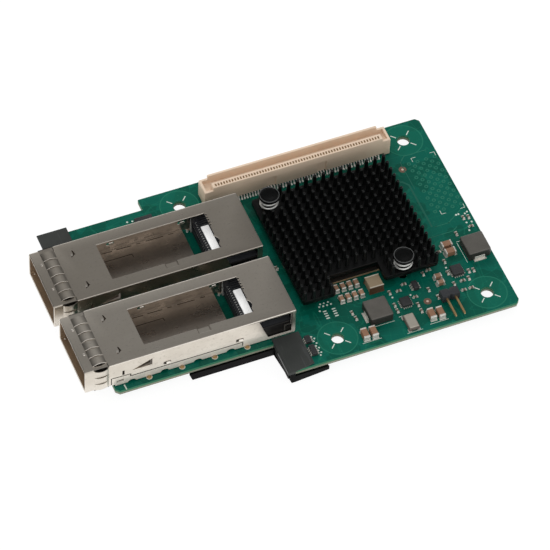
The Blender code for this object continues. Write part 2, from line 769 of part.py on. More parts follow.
def make_heat_sink():
    right = SINK_X + SINK_LENGTH
    back = SINK_Y + SINK_WIDTH
    notch = (SINK_X + SINK_NOTCH_X, SINK_X + SINK_NOTCH_X + SINK_NOTCH_LENGTH)
    notch_back = SINK_Y + SINK_NOTCH_DEPTH
    corners = (
        (SINK_X, SINK_Y), (notch[0], SINK_Y), (notch[0], notch_back), (notch[1], notch_back),
        (notch[1], SINK_Y), (right, SINK_Y), (right, back), (SINK_X, back),
    )
    radii = (SINK_CORNER, SINK_CORNER, 0, 0, SINK_CORNER, SINK_CORNER, SINK_CORNER, SINK_CORNER)
    mesh = bmesh.new()
    add_prism(mesh, rounded(corners, radii), SINK_BOTTOM, SINK_TOP)
    sink = make_object("heat_sink", mesh, BLACK_ANODISED)

    pitch_x = (SINK_LENGTH - 2 * PIN_INSET) / (PIN_COLUMNS - 1)
    pitch_y = (SINK_WIDTH - 2 * PIN_INSET) / (PIN_ROWS - 1)
    pins = bmesh.new()
    for column in range(PIN_COLUMNS):
        x = SINK_X + PIN_INSET + pitch_x * column
        over_notch = notch[0] - PIN_ROOT_RADIUS < x < notch[1] + PIN_ROOT_RADIUS
        for row in range(PIN_ROWS):
            y = SINK_Y + PIN_INSET + pitch_y * row
            if near_push_pin(x, y):
                continue
            if over_notch and y < notch_back + PIN_ROOT_RADIUS:
                continue
            profile = (
                (PIN_ROOT_RADIUS, SINK_TOP - PIN_SINK),
                (PIN_TIP_RADIUS, SINK_TOP + PIN_HEIGHT),
            )
            add_turned(pins, x, y, profile, PIN_SIDES)
    fuse(sink, pins)

    bores = bmesh.new()
    for _, x, y in PUSH_PINS:
        radius = PUSH_PIN_SHANK_RADIUS + GAP
        add_prism(bores, circle(x, y, radius, ROUND_SIDES), SINK_BOTTOM - 1.0, SINK_TOP + 1.0)
    cut(sink, bores)


def make_push_pin(name, x, y):
    head_bottom = PUSH_PIN_TOP - PUSH_PIN_HEAD_THICKNESS
    barb_top = BOARD_UNDERSIDE - GAP
    rim = PUSH_PIN_HEAD_THICKNESS / 4
    profile = (
        (PUSH_PIN_SHANK_RADIUS / 2, barb_top - PUSH_PIN_BARB_LENGTH),
        (PUSH_PIN_BARB_RADIUS, barb_top - PUSH_PIN_BARB_LENGTH / 3),
        (PUSH_PIN_BARB_RADIUS, barb_top),
        (PUSH_PIN_SHANK_RADIUS, barb_top),
        (PUSH_PIN_SHANK_RADIUS, head_bottom),
        (PUSH_PIN_HEAD_RADIUS, head_bottom),
        (PUSH_PIN_HEAD_RADIUS, PUSH_PIN_TOP - rim),
        (PUSH_PIN_HEAD_RADIUS - rim, PUSH_PIN_TOP),
    )
    mesh = bmesh.new()
    add_turned(mesh, x, y, profile)
    shade_round(make_object(name, mesh, BLACK_PLASTIC))


def make_spring(name, x, y):
    """Open coil between the heat sink's base and the push pin's head."""
    low = SINK_TOP + GAP + SPRING_WIRE_RADIUS
    high = PUSH_PIN_TOP - PUSH_PIN_HEAD_THICKNESS - GAP - SPRING_WIRE_RADIUS
    curve = bpy.data.curves.new(name, "CURVE")
    curve.dimensions = "3D"
    curve.bevel_depth = SPRING_WIRE_RADIUS * MM
    curve.bevel_resolution = 1
    curve.use_fill_caps = True
    spline = curve.splines.new("POLY")
    count = SPRING_TURNS * SPRING_STEPS + 1
    spline.points.add(count - 1)
    for index, point in enumerate(spline.points):
        turn = 2 * math.pi * index / SPRING_STEPS
        place = (
            x + SPRING_RADIUS * math.cos(turn),
            y + SPRING_RADIUS * math.sin(turn),
            low + (high - low) * index / (count - 1),
        )
        point.co = (*(Vector(place) * MM), 1.0)
    curve.materials.append(SPRING_STEEL)
    spring = bpy.data.objects.new(name, curve)
    bpy.context.scene.collection.objects.link(spring)
    spring.parent = card


make_heat_sink()
for side, x, y in PUSH_PINS:
    make_push_pin(f"{side}_push_pin", x, y)
    make_spring(f"{side}_push_pin_spring", x, y)


# Insulating tray

def make_tray():
    outer_front = -GAP - TRAY_SHEET
    step_front = FRONT_STEP_DEPTH + outer_front
    corner_left = FRONT_STEP_X - GAP
    back_edge = BACK_EDGE + BACK_FLAP_REACH
    floor = bmesh.new()
    add_prism(floor, (
        (TRAY_FLOOR_LEFT, TRAY_FLOOR_FRONT),
        (TRAY_SKIRT_X + TRAY_SKIRT_SLANT, TRAY_FLOOR_FRONT),
        (TRAY_SKIRT_X + TRAY_SKIRT_SLANT, step_front),
        (corner_left, step_front),
        (corner_left + TRAY_CORNER_SLANT, outer_front),
        (corner_left + TRAY_TONGUE, outer_front),
        (TRAY_CORNER_END, TRAY_FLOOR_FRONT),
        (TRAY_FLOOR_RIGHT, TRAY_FLOOR_FRONT),
        (TRAY_FLOOR_RIGHT, TRAY_FLOOR_BACK),
        (BACK_FLAP_END, TRAY_FLOOR_BACK),
        (BACK_FLAP_END, back_edge),
        (TRAY_FLOOR_LEFT, back_edge),
    ), TRAY_BOTTOM, TRAY_FLOOR_TOP)
    tray = make_object("insulator_tray", floor, INSULATOR)

    # Skirt below the stepped front edge, with a slanted end
    skirt = bmesh.new()
    add_prism(skirt, (
        (BOARD_UNDERSIDE, TRAY_SKIRT_X),
        (BOARD_UNDERSIDE, corner_left),
        (TRAY_BOTTOM, corner_left),
        (TRAY_BOTTOM, TRAY_SKIRT_X + TRAY_SKIRT_SLANT),
    ), step_front, step_front + TRAY_SHEET, axis="Y")
    fuse(tray, skirt)

    # Skirt round the front corner, with the tongue that climbs past the board's edge
    top_face = GAP + TRAY_SHEET
    corner = bmesh.new()
    add_prism(corner, (
        (TRAY_BOTTOM, corner_left + TRAY_CORNER_SLANT),
        (top_face, corner_left),
        (top_face, corner_left + TRAY_TONGUE),
        (BOARD_UNDERSIDE, corner_left + TRAY_TONGUE),
        (BOARD_UNDERSIDE, TRAY_CORNER_END),
        (TRAY_BOTTOM + TRAY_CORNER_RISE, TRAY_CORNER_END),
        (TRAY_BOTTOM, corner_left + TRAY_TONGUE),
    ), outer_front, outer_front + TRAY_SHEET, axis="Y")
    fuse(tray, corner)

    # Flap that lies on the board beside the front cage
    flap = bmesh.new()
    add_prism(flap, (
        (corner_left, outer_front),
        (corner_left + TRAY_TONGUE, outer_front),
        (FRONT_FLAP_END, GAP),
        (FRONT_FLAP_END, FRONT_FLAP_BACK),
        (corner_left, FRONT_FLAP_BACK),
    ), GAP, top_face)
    fuse(tray, flap)

    # Flap over the back corner at the port end, and the web that carries it past the edge
    web = bmesh.new()
    add_box(
        web,
        (TRAY_FLOOR_LEFT, BACK_FLAP_END),
        (back_edge - TRAY_SHEET, back_edge),
        (TRAY_BOTTOM, top_face),
    )
    fuse(tray, web)
    back_flap = bmesh.new()
    add_box(
        back_flap,
        (BACK_FLAP_X, BACK_FLAP_END),
        (REAR_CAGE_BACK + BACK_FLAP_ROOM, back_edge),
        (GAP, top_face),
    )
    fuse(tray, back_flap)


make_tray()


# Small parts soldered to the board

def make_block(name, x, y, size, material):
    width, depth, top = size
    mesh = bmesh.new()
    add_box(mesh, (x - width / 2, x + width / 2), (y - depth / 2, y + depth / 2), (GAP, top))
    return make_object(name, mesh, material)


def part_material(name):
    if "capacitor" in name:
        return CERAMIC
    if "oscillator" in name:
        return METAL_CAN
    return MOULDED_CHIP


for row, y in enumerate(CHIP_CAPACITOR_ROWS):
    for column in range(CHIP_CAPACITOR_COLUMNS):
        x = CHIP_CAPACITOR_X + CHIP_CAPACITOR_PITCH * column
        label = f"chip_capacitor_{row * CHIP_CAPACITOR_COLUMNS + column + 1}"
        make_block(label, x, y, CHIP_CAPACITOR_SIZE, CERAMIC)
for name, x, y, width, depth, top in SMALL_PARTS:
    make_block(name, x, y, (width, depth, top), part_material(name))
memory_strip = BACK_EDGE - REAR_CAGE_BACK
memory_size = (MEMORY_CHIP_LENGTH, memory_strip * MEMORY_CHIP_SHARE, MEMORY_CHIP_TOP)
memory_y = REAR_CAGE_BACK + memory_strip / 2
make_block("memory_chip", MEMORY_CHIP_X, memory_y, memory_size, MOULDED_CHIP)
for name, x, y in INDUCTORS:
    make_block(name, x, y, INDUCTOR_SIZE, FERRITE)


# Right-angle pin header

def make_header():
    half = HEADER_PITCH
    back = HEADER_Y + HEADER_DEPTH
    mesh = bmesh.new()
    add_prism(mesh, (
        (HEADER_X - half, HEADER_Y),
        (HEADER_X - HEADER_NOTCH, HEADER_Y),
        (HEADER_X, HEADER_Y + HEADER_NOTCH),
        (HEADER_X + HEADER_NOTCH, HEADER_Y),
        (HEADER_X + half, HEADER_Y),
        (HEADER_X + half, back),
        (HEADER_X + HEADER_NOTCH, back),
        (HEADER_X, back - HEADER_NOTCH),
        (HEADER_X - HEADER_NOTCH, back),
        (HEADER_X - half, back),
    ), GAP, HEADER_TOP)
    block = make_object("pin_header_block", mesh, MOULDED_CHIP)
    reach = HEADER_PIN / 2 + GAP
    bores = bmesh.new()
    for x in header_pin_columns():
        add_box(
            bores,
            (x - reach, x + reach),
            (HEADER_Y - 1.0, back + 1.0),
            (HEADER_PIN_HEIGHT - reach, HEADER_PIN_HEIGHT + reach),
        )
    cut(block, bores)


def make_header_pin(name, x):
    half = HEADER_PIN / 2
    leg = (HEADER_LEG_Y - half, HEADER_LEG_Y + half)
    low = HEADER_PIN_HEIGHT - half
    high = HEADER_PIN_HEIGHT + half
    foot = BOARD_UNDERSIDE - 1.0
    mesh = bmesh.new()
    add_prism(mesh, (
        (HEADER_Y - HEADER_PIN_REACH, low),
        (leg[0], low),
        (leg[0], foot),
        (leg[1], foot),
        (leg[1], high),
        (HEADER_Y - HEADER_PIN_REACH, high),
    ), x - half, x + half, axis="X")
    make_object(name, mesh, GOLD_PLATE)


make_header()
for side, x in zip(("left", "right"), header_pin_columns()):
    make_header_pin(f"{side}_header_pin", x)
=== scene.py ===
# Looks of a mezzanine network card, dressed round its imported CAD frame.
#
# Lengths are in millimetres in the board's frame: X runs from the port end along the card, Y from
# the near long edge to the far one, and Z up from the board's top face.

import math

import bmesh
import bpy
from mathutils import Matrix, Vector


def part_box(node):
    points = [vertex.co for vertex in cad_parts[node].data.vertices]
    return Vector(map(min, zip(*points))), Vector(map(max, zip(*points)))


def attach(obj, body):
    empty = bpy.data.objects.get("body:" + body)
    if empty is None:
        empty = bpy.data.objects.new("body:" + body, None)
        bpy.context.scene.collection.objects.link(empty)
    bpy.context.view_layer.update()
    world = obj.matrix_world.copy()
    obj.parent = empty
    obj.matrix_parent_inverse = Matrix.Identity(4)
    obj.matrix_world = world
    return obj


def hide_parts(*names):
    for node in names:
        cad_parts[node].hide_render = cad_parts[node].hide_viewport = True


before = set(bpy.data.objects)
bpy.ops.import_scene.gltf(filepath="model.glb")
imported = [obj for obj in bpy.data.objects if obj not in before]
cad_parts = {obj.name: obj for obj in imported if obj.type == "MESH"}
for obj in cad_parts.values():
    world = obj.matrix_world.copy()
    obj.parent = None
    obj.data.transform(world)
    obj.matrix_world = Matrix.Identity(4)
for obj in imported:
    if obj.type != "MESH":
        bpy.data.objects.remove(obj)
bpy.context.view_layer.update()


# The bare circuit board
#
# A pressed stack of copper and glass-epoxy sheets, routed to shape and drilled. Both faces wear a
# green solder mask that lets the copper show faintly, with white ink on it round the screw holes.

MM = 0.001
low_corner, high_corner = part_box("circuit_board")
ORIGIN = Vector((low_corner.x, low_corner.y, high_corner.z))


def about(middle, width):
    """The range of a width round its middle."""
    return middle - width / 2, middle + width / 2


def circle(x, y, radius, sides):
    turns = [2 * math.pi * step / sides for step in range(sides)]
    return [(x + radius * math.cos(turn), y + radius * math.sin(turn)) for turn in turns]


def quarter(x, y, radius, start, steps):
    """Quarter of a circle, from an angle in degrees."""
    turns = [math.radians(start + 90 * step / steps) for step in range(steps + 1)]
    return [(x + radius * math.cos(turn), y + radius * math.sin(turn)) for turn in turns]


def pad(x, y, radius):
    """Outline of the rectangle over two ranges, with rounded corners."""
    left, right = x[0] + radius, x[1] - radius
    near, far = y[0] + radius, y[1] - radius
    outline = []
    corners = ((right, near, -90), (right, far, 0), (left, far, 90), (left, near, 180))
    for corner_x, corner_y, start in corners:
        outline += quarter(corner_x, corner_y, radius, start, 3)
    return outline


def above(z, outline):
    """An outline of (x, y) points put at one height."""
    return [(x, y, z) for x, y in outline]


class Sketch:
    """A mesh being drawn in millimetres in the board's frame, moved along Y by its shift."""

    def __init__(self, shift=0.0):
        self.mesh = bmesh.new()
        self.shift = shift
        self.coat = 0

    def face(self, corners):
        self.mesh.faces.new(corners).material_index = self.coat

    def skin(self, rings, closed=False):
        """Faces from ring to ring; the end rings are filled in unless the last meets the first."""
        rows = []
        for ring in rings:
            places = [Vector((x, y + self.shift, z)) * MM + ORIGIN for x, y, z in ring]
            rows.append([self.mesh.verts.new(place) for place in places])
        pairs = list(zip(rows, rows[1:]))
        if closed:
            pairs.append((rows[-1], rows[0]))
        else:
            self.face(rows[0])
            self.face(rows[-1])
        for row, following in pairs:
            for index in range(len(row)):
                after = (index + 1) % len(row)
                self.face((row[index], row[after], following[after], following[index]))

    def block(self, outline, low, high, axis="Z"):
        """Prism between two levels of an axis; the outline gives the other two in X, Y, Z order."""
        turned = {
            "X": lambda a, b, level: (level, a, b),
            "Y": lambda a, b, level: (a, level, b),
            "Z": lambda a, b, level: (a, b, level),
        }[axis]
        self.skin([[turned(a, b, level) for a, b in outline] for level in (low, high)])

    def box(self, x, y, z):
        self.block(((x[0], y[0]), (x[1], y[0]), (x[1], y[1]), (x[0], y[1])), *z)

    def pillow(self, x, y, z, radius):
        """Box with rounded upright and top edges."""
        rings = [above(z[0], pad(x, y, radius))]
        for step in range(4):
            angle = math.pi / 2 * step / 3
            inset = radius * (1 - math.cos(angle)) * 0.98
            height = z[1] - radius * (1 - math.sin(angle))
            outline = pad((x[0] + inset, x[1] - inset), (y[0] + inset, y[1] - inset), radius - inset)
            rings.append(above(height, outline))
        self.skin(rings)

    def post(self, x, y, profile, sides=24):
        """Turned solid; the profile is (radius, height) pairs from one end to the other."""
        self.skin([above(height, circle(x, y, radius, sides)) for radius, height in profile])

    def ring(self, x, y, outer, inner, z, sides=24):
        """Flat washer."""
        corners = ((outer, z[0]), (outer, z[1]), (inner, z[1]), (inner, z[0]))
        self.skin([above(height, circle(x, y, radius, sides)) for radius, height in corners], closed=True)

    def tube(self, path, radius, sides=8, closed=False):
        """Round bar along a path that isn't upright anywhere."""
        rings = []
        points = [Vector(point) for point in path]
        for index, point in enumerate(points):
            before = points[index - 1] if index or closed else point
            after = points[(index + 1) % len(points)] if index + 1 < len(points) or closed else point
            along = (after - before).normalized()
            side = along.cross(Vector((0, 0, 1))).normalized()
            up = side.cross(along)
            turns = [2 * math.pi * step / sides for step in range(sides)]
            rings.append([
                tuple(point + (side * math.cos(turn) + up * math.sin(turn)) * radius)
                for turn in turns
            ])
        self.skin(rings, closed)

    def ribbon(self, path, width, z):
        """Flat strip of one width along a path of (x, y) points."""
        rings = []
        points = [Vector(point) for point in path]
        for index, point in enumerate(points):
            legs = []
            if index:
                legs.append((point - points[index - 1]).normalized())
            if index + 1 < len(points):
                legs.append((points[index + 1] - point).normalized())
            along = sum(legs, Vector((0, 0))).normalized()
            side = Vector((-along.y, along.x)) * (width / 2 / max(0.3, along.dot(legs[0])))
            left = point + side
            right = point - side
            rings.append([(*left, z[0]), (*right, z[0]), (*right, z[1]), (*left, z[1])])
        self.skin(rings)


def shade(mesh):
    """Smooth shading, with the edges that turn more than 35 degrees kept sharp."""
    mesh.shade_smooth()
    mesh.set_sharp_from_angle(angle=math.radians(35))


def stand(name, data):
    """Put a new object with its data in the scene."""
    thing = bpy.data.objects.new(name, data)
    bpy.context.scene.collection.objects.link(thing)
    return thing


def solid(name, sketch, *materials):
    bmesh.ops.recalc_face_normals(sketch.mesh, faces=sketch.mesh.faces)
    data = bpy.data.meshes.new(name)
    sketch.mesh.to_mesh(data)
    sketch.mesh.free()
    for material in materials:
        data.materials.append(material)
    shade(data)
    return stand(name, data)


def install(piece, slot, *nodes):
    """Fix a finished piece to the card, in place of the CAD nodes it stands for."""
    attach(piece, "root")
    if nodes:
        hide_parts(*nodes)


def rgb(red, green, blue):
    """Linear colour of an 8-bit display colour."""
    shares = [value / 255 for value in (red, green, blue)]
    linear = [v / 12.92 if v < 0.0405 else ((v + 0.055) / 1.055) ** 2.4 for v in shares]
    return (*linear, 1.0)


class Wire:
    """One output of a shader node; sums written with it add the nodes that work them out."""

    def __init__(self, paint, socket):
        self.paint = paint
        self.socket = socket

    def sum(self, operation, first, second):
        wires = [value for value in (first, second) if isinstance(value, Wire)]
        plain = all(wire.socket.type == "VALUE" for wire in wires)
        kind = "ShaderNodeMath" if plain else "ShaderNodeVectorMath"
        values = [first, second]
        if not plain:
            values = [(v, v, v) if isinstance(v, (int, float)) else v for v in values]
        return self.paint.node(kind, {"operation": operation}, dict(enumerate(values)))

    def __add__(self, other):
        return self.sum("ADD", self, other)

    def __radd__(self, other):
        return self.sum("ADD", other, self)

    def __sub__(self, other):
        return self.sum("SUBTRACT", self, other)

    def __rsub__(self, other):
        return self.sum("SUBTRACT", other, self)

    def __mul__(self, other):
        return self.sum("MULTIPLY", self, other)

    def __rmul__(self, other):
        return self.sum("MULTIPLY", other, self)

    def __pow__(self, other):
        return self.sum("POWER", self, other)

    def __gt__(self, other):
        return self.sum("GREATER_THAN", self, other)

    def __lt__(self, other):
        return self.sum("LESS_THAN", self, other)

    def __mod__(self, other):
        return self.sum("FLOORED_MODULO", self, other)

    def __abs__(self):
        return self.sum("ABSOLUTE", self, 0.0)


class Paint:
    """A material whose nodes are added by the methods that name what they do."""

    def __init__(self, name):
        self.material = bpy.data.materials.new(name)
        self.material.use_nodes = True
        self.tree = self.material.node_tree
        self.surface = self.tree.nodes["Principled BSDF"]
        spot = self.node("ShaderNodeTexCoord", output="Object")
        self.place = (spot - tuple(ORIGIN)) * (1 / MM)
        self.x, self.y, self.z = [
            self.node("ShaderNodeSeparateXYZ", {}, {0: self.place}, axis) for axis in "XYZ"
        ]

    def plug(self, socket, value):
        if isinstance(value, Wire):
            self.tree.links.new(value.socket, socket)
        else:
            socket.default_value = value

    def node(self, kind, settings={}, inputs={}, output=0):
        node = self.tree.nodes.new(kind)
        for name, value in settings.items():
            setattr(node, name, value)
        for name, value in inputs.items():
            self.plug(node.inputs[name], value)
        return Wire(self, node.outputs[output])

    def noise(self, scale, detail=3.0, stretch=(1.0, 1.0, 1.0)):
        """Soft random values from 0 to 1, with so many features per millimetre."""
        spot = self.place * stretch
        return self.node("ShaderNodeTexNoise", {}, {"Vector": spot, "Scale": scale, "Detail": detail})

    def cells(self, scale):
        """Distance to the nearest of many scattered points, so many to the millimetre."""
        return self.node("ShaderNodeTexVoronoi", {}, {"Vector": self.place, "Scale": scale}, "Distance")

    def rise(self, value, low, high):
        """Smooth step from 0 to 1 as the value goes from low to high."""
        levels = {"Value": value, "From Min": low, "From Max": high}
        return self.node("ShaderNodeMapRange", {"interpolation_type": "SMOOTHSTEP"}, levels)

    def mix(self, first, second, share):
        inputs = {0: share, 6: first, 7: second}
        return self.node("ShaderNodeMix", {"data_type": "RGBA"}, inputs, 2)

    def coat(self, color, roughness, metallic=0.0, height=None, depth=0.01, **others):
        """Finish the material; height is 0 to 1 and stands for depth millimetres of relief."""
        sockets = {"Base Color": color, "Roughness": roughness, "Metallic": metallic, **others}
        for name, value in sockets.items():
            self.plug(self.surface.inputs[name.replace("_", " ")], value)
        if height is not None:
            relief = {"Height": height, "Distance": depth * MM}
            self.plug(self.surface.inputs["Normal"], self.node("ShaderNodeBump", {}, relief, "Normal"))
        return self.material


def plain_finish(name, color, roughness, metallic=0.0, contrast=0.25, grain=6.0, depth=0.004, **others):
    """Finish of one colour with mottling, uneven gloss and a fine grain."""
    paint = Paint(name)
    mottle = paint.noise(grain / 12, 4.0)
    fine = paint.noise(grain, 2.0)
    darker = tuple(channel * (1 - contrast) for channel in color[:3]) + (1.0,)
    lighter = tuple(min(1.0, channel * (1 + contrast)) for channel in color[:3]) + (1.0,)
    shade_of = paint.mix(darker, lighter, mottle * 0.6 + fine * 0.4)
    gloss = roughness + (mottle - 0.5) * 0.2 + (fine - 0.5) * 0.1
    return paint.coat(shade_of, gloss, metallic, fine, depth, **others)


mask = Paint("green_solder_mask")
edge = (mask.z < -0.05) * (mask.z > -1.5)
pour = mask.rise(mask.noise(0.11, 2.0), 0.49, 0.5)
route = abs(mask.noise(0.35, 0.0, (0.25, 1.0, 1.0)) - 0.5) < 0.012
cross_route = abs(mask.noise(0.3, 0.0, (1.0, 0.25, 1.0)) - 0.45) < 0.012
vias = mask.cells(0.55) < 0.11
grain = mask.noise(9.0, 2.0)
SCREW_HOLES = ((60.2, 6.0), (103.1, 6.0), (103.1, 62.0), (37.7, 62.0))
LAND_RADIUS = 5.3
screw_land, land_edge = 0.0, 0.0
for hole_x, hole_y in SCREW_HOLES:
    off_x, off_y = mask.x - hole_x, mask.y - hole_y
    distance = (off_x * off_x + off_y * off_y) ** 0.5
    screw_land = (distance < LAND_RADIUS) + screw_land
    land_edge = (abs(distance - LAND_RADIUS) < 0.14) + land_edge
green = mask.mix(rgb(1, 82, 67), rgb(2, 94, 79), pour)
green = mask.mix(green, rgb(22, 118, 94), (route + cross_route) * 0.35)
green = mask.mix(green, rgb(14, 104, 84), screw_land * 0.5)
green = mask.mix(green, rgb(44, 126, 102), land_edge * 0.6)
green = mask.mix(green, rgb(42, 122, 98), vias * 0.4)
green = mask.mix(green, rgb(6, 78, 62), grain * 0.25)
layers = mask.noise(2.0, 2.0, (0.15, 0.15, 9.0))
resin_rich = mask.rise(mask.z + layers * 0.5, -0.75, -0.35)
board_color = mask.mix(green, mask.mix(rgb(150, 152, 134), rgb(60, 124, 94), resin_rich), edge)
board_gloss = mask.rise(grain, 0.2, 1.0) * 0.1 + 0.28 + edge * 0.4
copper_relief = pour * 0.5 + (route + cross_route) * 0.5 + grain * 0.15 - vias * 0.4
board_finish = mask.coat(board_color, board_gloss, 0.0, copper_relief, 0.012, Specular_IOR_Level=0.16)
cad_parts["circuit_board"].material_slots[0].material = board_finish

# Copper routes and a field of lands under the mask at the free end
trace = Paint("copper_under_mask")
trace_grain = trace.noise(5.0, 3.0)
land_color = trace.mix(rgb(12, 102, 83), rgb(26, 114, 92), trace_grain)
trace_color = trace.mix(rgb(6, 94, 77), land_color, (trace.x > 99.7) + (trace.z > 1.0))
trace_finish = trace.coat(trace_color, 0.3 + trace_grain * 0.1, 0.0, trace_grain, 0.006)
routes = Sketch()
ROUTE_Z = (-0.05, 0.02)
routes.ribbon(((98.3, 31.4), (98.3, 47.0), (97.0, 48.6), (94.6, 49.2)), 0.5, ROUTE_Z)
routes.ribbon(((98.9, 31.2), (103.4, 31.2)), 0.25, ROUTE_Z)
routes.ribbon(((93.4, 28.2), (103.0, 28.2), (104.6, 29.2)), 0.25, ROUTE_Z)
routes.ribbon(((103.0, 31.2), (109.3, 35.2)), 0.25, ROUTE_Z)
routes.ribbon(((99.2, 45.0), (99.2, 55.0), (101.0, 56.8), (107.5, 56.8)), 0.22, ROUTE_Z)
FIELD_CORNER = (101.2, 36.0)
FIELD_PITCH = (2.55, 1.27)
for row in range(15):
    odd = row % 2
    for column in range(4 - odd):
        land_x = FIELD_CORNER[0] + FIELD_PITCH[0] * column + FIELD_PITCH[1] * odd
        routes.ring(land_x, FIELD_CORNER[1] + FIELD_PITCH[1] * row, 0.56, 0.26, ROUTE_Z, 14)
install(solid("copper_routes", routes, trace_finish), "solder_mask")

ink_finish = plain_finish("white_ink", rgb(206, 216, 206), 0.55, 0.0, 0.12, 8.0, 0.006)
ink = Sketch()
INK_Z = (-0.02, 0.03)
LINE_WIDTH = 0.13
TICK_REACH = (2.15, 3.8)
for hole_x, hole_y in SCREW_HOLES:
    for turn in (45, 135, 225, 315):
        way_x, way_y = math.cos(math.radians(turn)), math.sin(math.radians(turn))
        tick = [(hole_x + way_x * reach, hole_y + way_y * reach) for reach in TICK_REACH]
        ink.ribbon(tick, 2 * LINE_WIDTH, INK_Z)
for corner_x, corner_y, way_x, way_y in (
    (102.5, 34.6, 1, 1), (109.3, 34.6, -1, 1), (102.5, 55.4, 1, -1), (109.3, 55.4, -1, -1)
):
    ink.ribbon(
        ((corner_x + 1.3 * way_x, corner_y), (corner_x, corner_y), (corner_x, corner_y + 1.3 * way_y)),
        LINE_WIDTH, INK_Z,
    )
for start, end in (
    ((69.9, 5.9), (76.4, 5.9)), ((102.3, 17.0), (102.3, 24.0)), ((102.3, 24.4), (109.2, 24.4)),
    ((77.9, 0.8), (82.3, 0.8)), ((77.9, 6.6), (78.9, 6.6)), ((90.0, 9.9), (95.8, 9.9)),
    ((65.6, 1.9), (71.0, 1.9)), ((84.7, 1.5), (90.0, 1.5)),
):
    ink.ribbon((start, end), LINE_WIDTH, INK_Z)
for step in range(9):
    ink.post(53.9 + 0.5 * (step % 2), 2.4 + 0.8 * step, ((0.25, INK_Z[0]), (0.25, INK_Z[1])), 10)
for dot_x, dot_y in (
    (60.2, 17.9), (61.2, 17.9), (62.4, 17.9), (59.2, 15.8), (59.6, 17.1), (60.7, 17.0), (61.8, 17.0),
    (62.9, 17.0), (106.0, 33.0), (106.7, 33.0), (107.6, 29.6), (109.0, 29.4), (108.4, 32.6), (109.2, 33.0),
    (78.9, 13.2), (83.7, 12.3), (96.2, 17.4), (22.6, 61.8), (24.0, 61.6), (54.3, 33.0), (107.2, 26.9),
):
    ink.post(dot_x, dot_y, ((0.28, INK_Z[0]), (0.28, INK_Z[1])), 12)
ink.ribbon(((2.75, 9.95), (2.65, 11.6)), 0.35, INK_Z)
for row in range(4):
    for column in range(2):
        ink.box(about(60.4 + 2.5 * column, 1.0), about(12.9 + 0.8 * row, 0.36), INK_Z)
install(solid("board_ink", ink, ink_finish), "white_film")

bare_copper = plain_finish("bare_copper", rgb(120, 92, 76), 0.45, 0.2, 0.15, 8.0)
mark_centre = plain_finish("mark_centre", rgb(220, 196, 178), 0.4, 0.2, 0.1, 8.0)
marks = Sketch()
for mark_x, mark_y in ((87.1, 8.8), (98.8, 52.6)):
    marks.coat = 0
    marks.post(mark_x, mark_y, ((1.05, -0.02), (1.05, 0.01), (0.98, 0.016)), 28)
    marks.coat = 1
    marks.post(mark_x, mark_y, ((0.34, -0.02), (0.34, 0.03), (0.28, 0.04)), 16)
install(solid("copper_marks", marks, bare_copper, mark_centre), "gold_plate")


# The two port cages
#
# Each cage is a box folded from one nickel-plated steel sheet, open at the port and underneath. Its
# top has a window for a module's heat sink, its walls carry punched slots, a louvre and press-fit tails.

CAGE_WIDTH = 19.34
CAGE_TOP = 9.3
CAGE_BACK = 50.6
MOUTH_BOTTOM = 0.9
SHEET = 0.3
CAGES = (("front", 11.83), ("rear", 34.73))
WINDOW_X = (9.5, 40.0)
WINDOW_Y = (3.52, 15.82)
NOTCH_X = (24.1, 27.5)
NOTCH_Y = 1.82
HOOK_Y = (4.2, 15.2)
SLOT_X = (13.6, 33.8)
FOOT_X = (4.9, 14.0, 23.2, 32.4)
TAIL_X = (9.6, 18.73, 27.86, 36.99)


def settle(piece):
    """Keep the shape that the piece's modifiers give it as its own mesh."""
    graph = bpy.context.evaluated_depsgraph_get()
    shaped = bpy.data.meshes.new_from_object(piece.evaluated_get(graph))
    piece.modifiers.clear()
    piece.data = shaped
    shade(shaped)


def carve(piece, sketch, *materials):
    """Cut a sketch out of a piece; the new faces can have a material of their own."""
    tool = solid("tool", sketch, *materials)
    modifier = piece.modifiers.new("carve", "BOOLEAN")
    if materials:
        modifier.material_mode = "TRANSFER"
    modifier.solver = "EXACT"
    modifier.use_self = True
    modifier.object = tool
    settle(piece)
    bpy.data.objects.remove(tool)


def nickel_finish(name, base, stain, gloss, foot=1.0, shade=0.25):
    """Nickel plate, rolled, clouded and scuffed; a foot under 1 paints light low down, paler and less
    metallic, and shade paints the rear cage darker.
    """
    paint = Paint(name)
    clouds = paint.noise(0.22, 4.0)
    rolled = paint.noise(2.2, 3.0, (0.08, 1.0, 1.0))
    scuffs = paint.rise(paint.noise(1.4, 6.0), 0.56, 0.72)
    color = paint.mix(base, stain, clouds * 0.6 + rolled * 0.3)
    color = paint.mix(color, tuple(0.75 * channel for channel in stain[:3]) + (1.0,), scuffs * 0.35)
    roughness = gloss + (clouds - 0.5) * 0.16 + (rolled - 0.5) * 0.14 + scuffs * 0.12
    # Painted shade: the rear cage is tinted darker.
    color = paint.mix(color, rgb(120, 108, 92), paint.rise(paint.y, 33.0, 34.5) * shade)
    # Painted light: with a foot under 1 the plate turns paler and less metallic towards the bottom.
    raised = paint.rise(paint.z, 1.0, 5.5)
    shine = raised * (1 - foot) + foot
    color = paint.mix(color, rgb(240, 232, 220), (1 - raised) * (1 - foot))
    return paint.coat(color, roughness, shine, rolled * 0.7 + clouds * 0.5 + scuffs * 0.2, 0.006)


nickel = nickel_finish("nickel_plate", rgb(208, 201, 190), rgb(180, 172, 160), 0.32, 0.25)
# A brighter copy of the plate, for painted highlights on rims, edges and pressed parts.
highlight_nickel = nickel_finish("nickel_painted_highlight", rgb(240, 235, 226), rgb(214, 206, 196), 0.3)
# A darker copy of the plate for the cage's inside, floors, hems and louvre flap: painted shade; its foot
# pales the floors with painted light.
shaded_nickel = nickel_finish("nickel_painted_shade", rgb(192, 180, 168), rgb(112, 104, 96), 0.3, 0.93, 0.0)
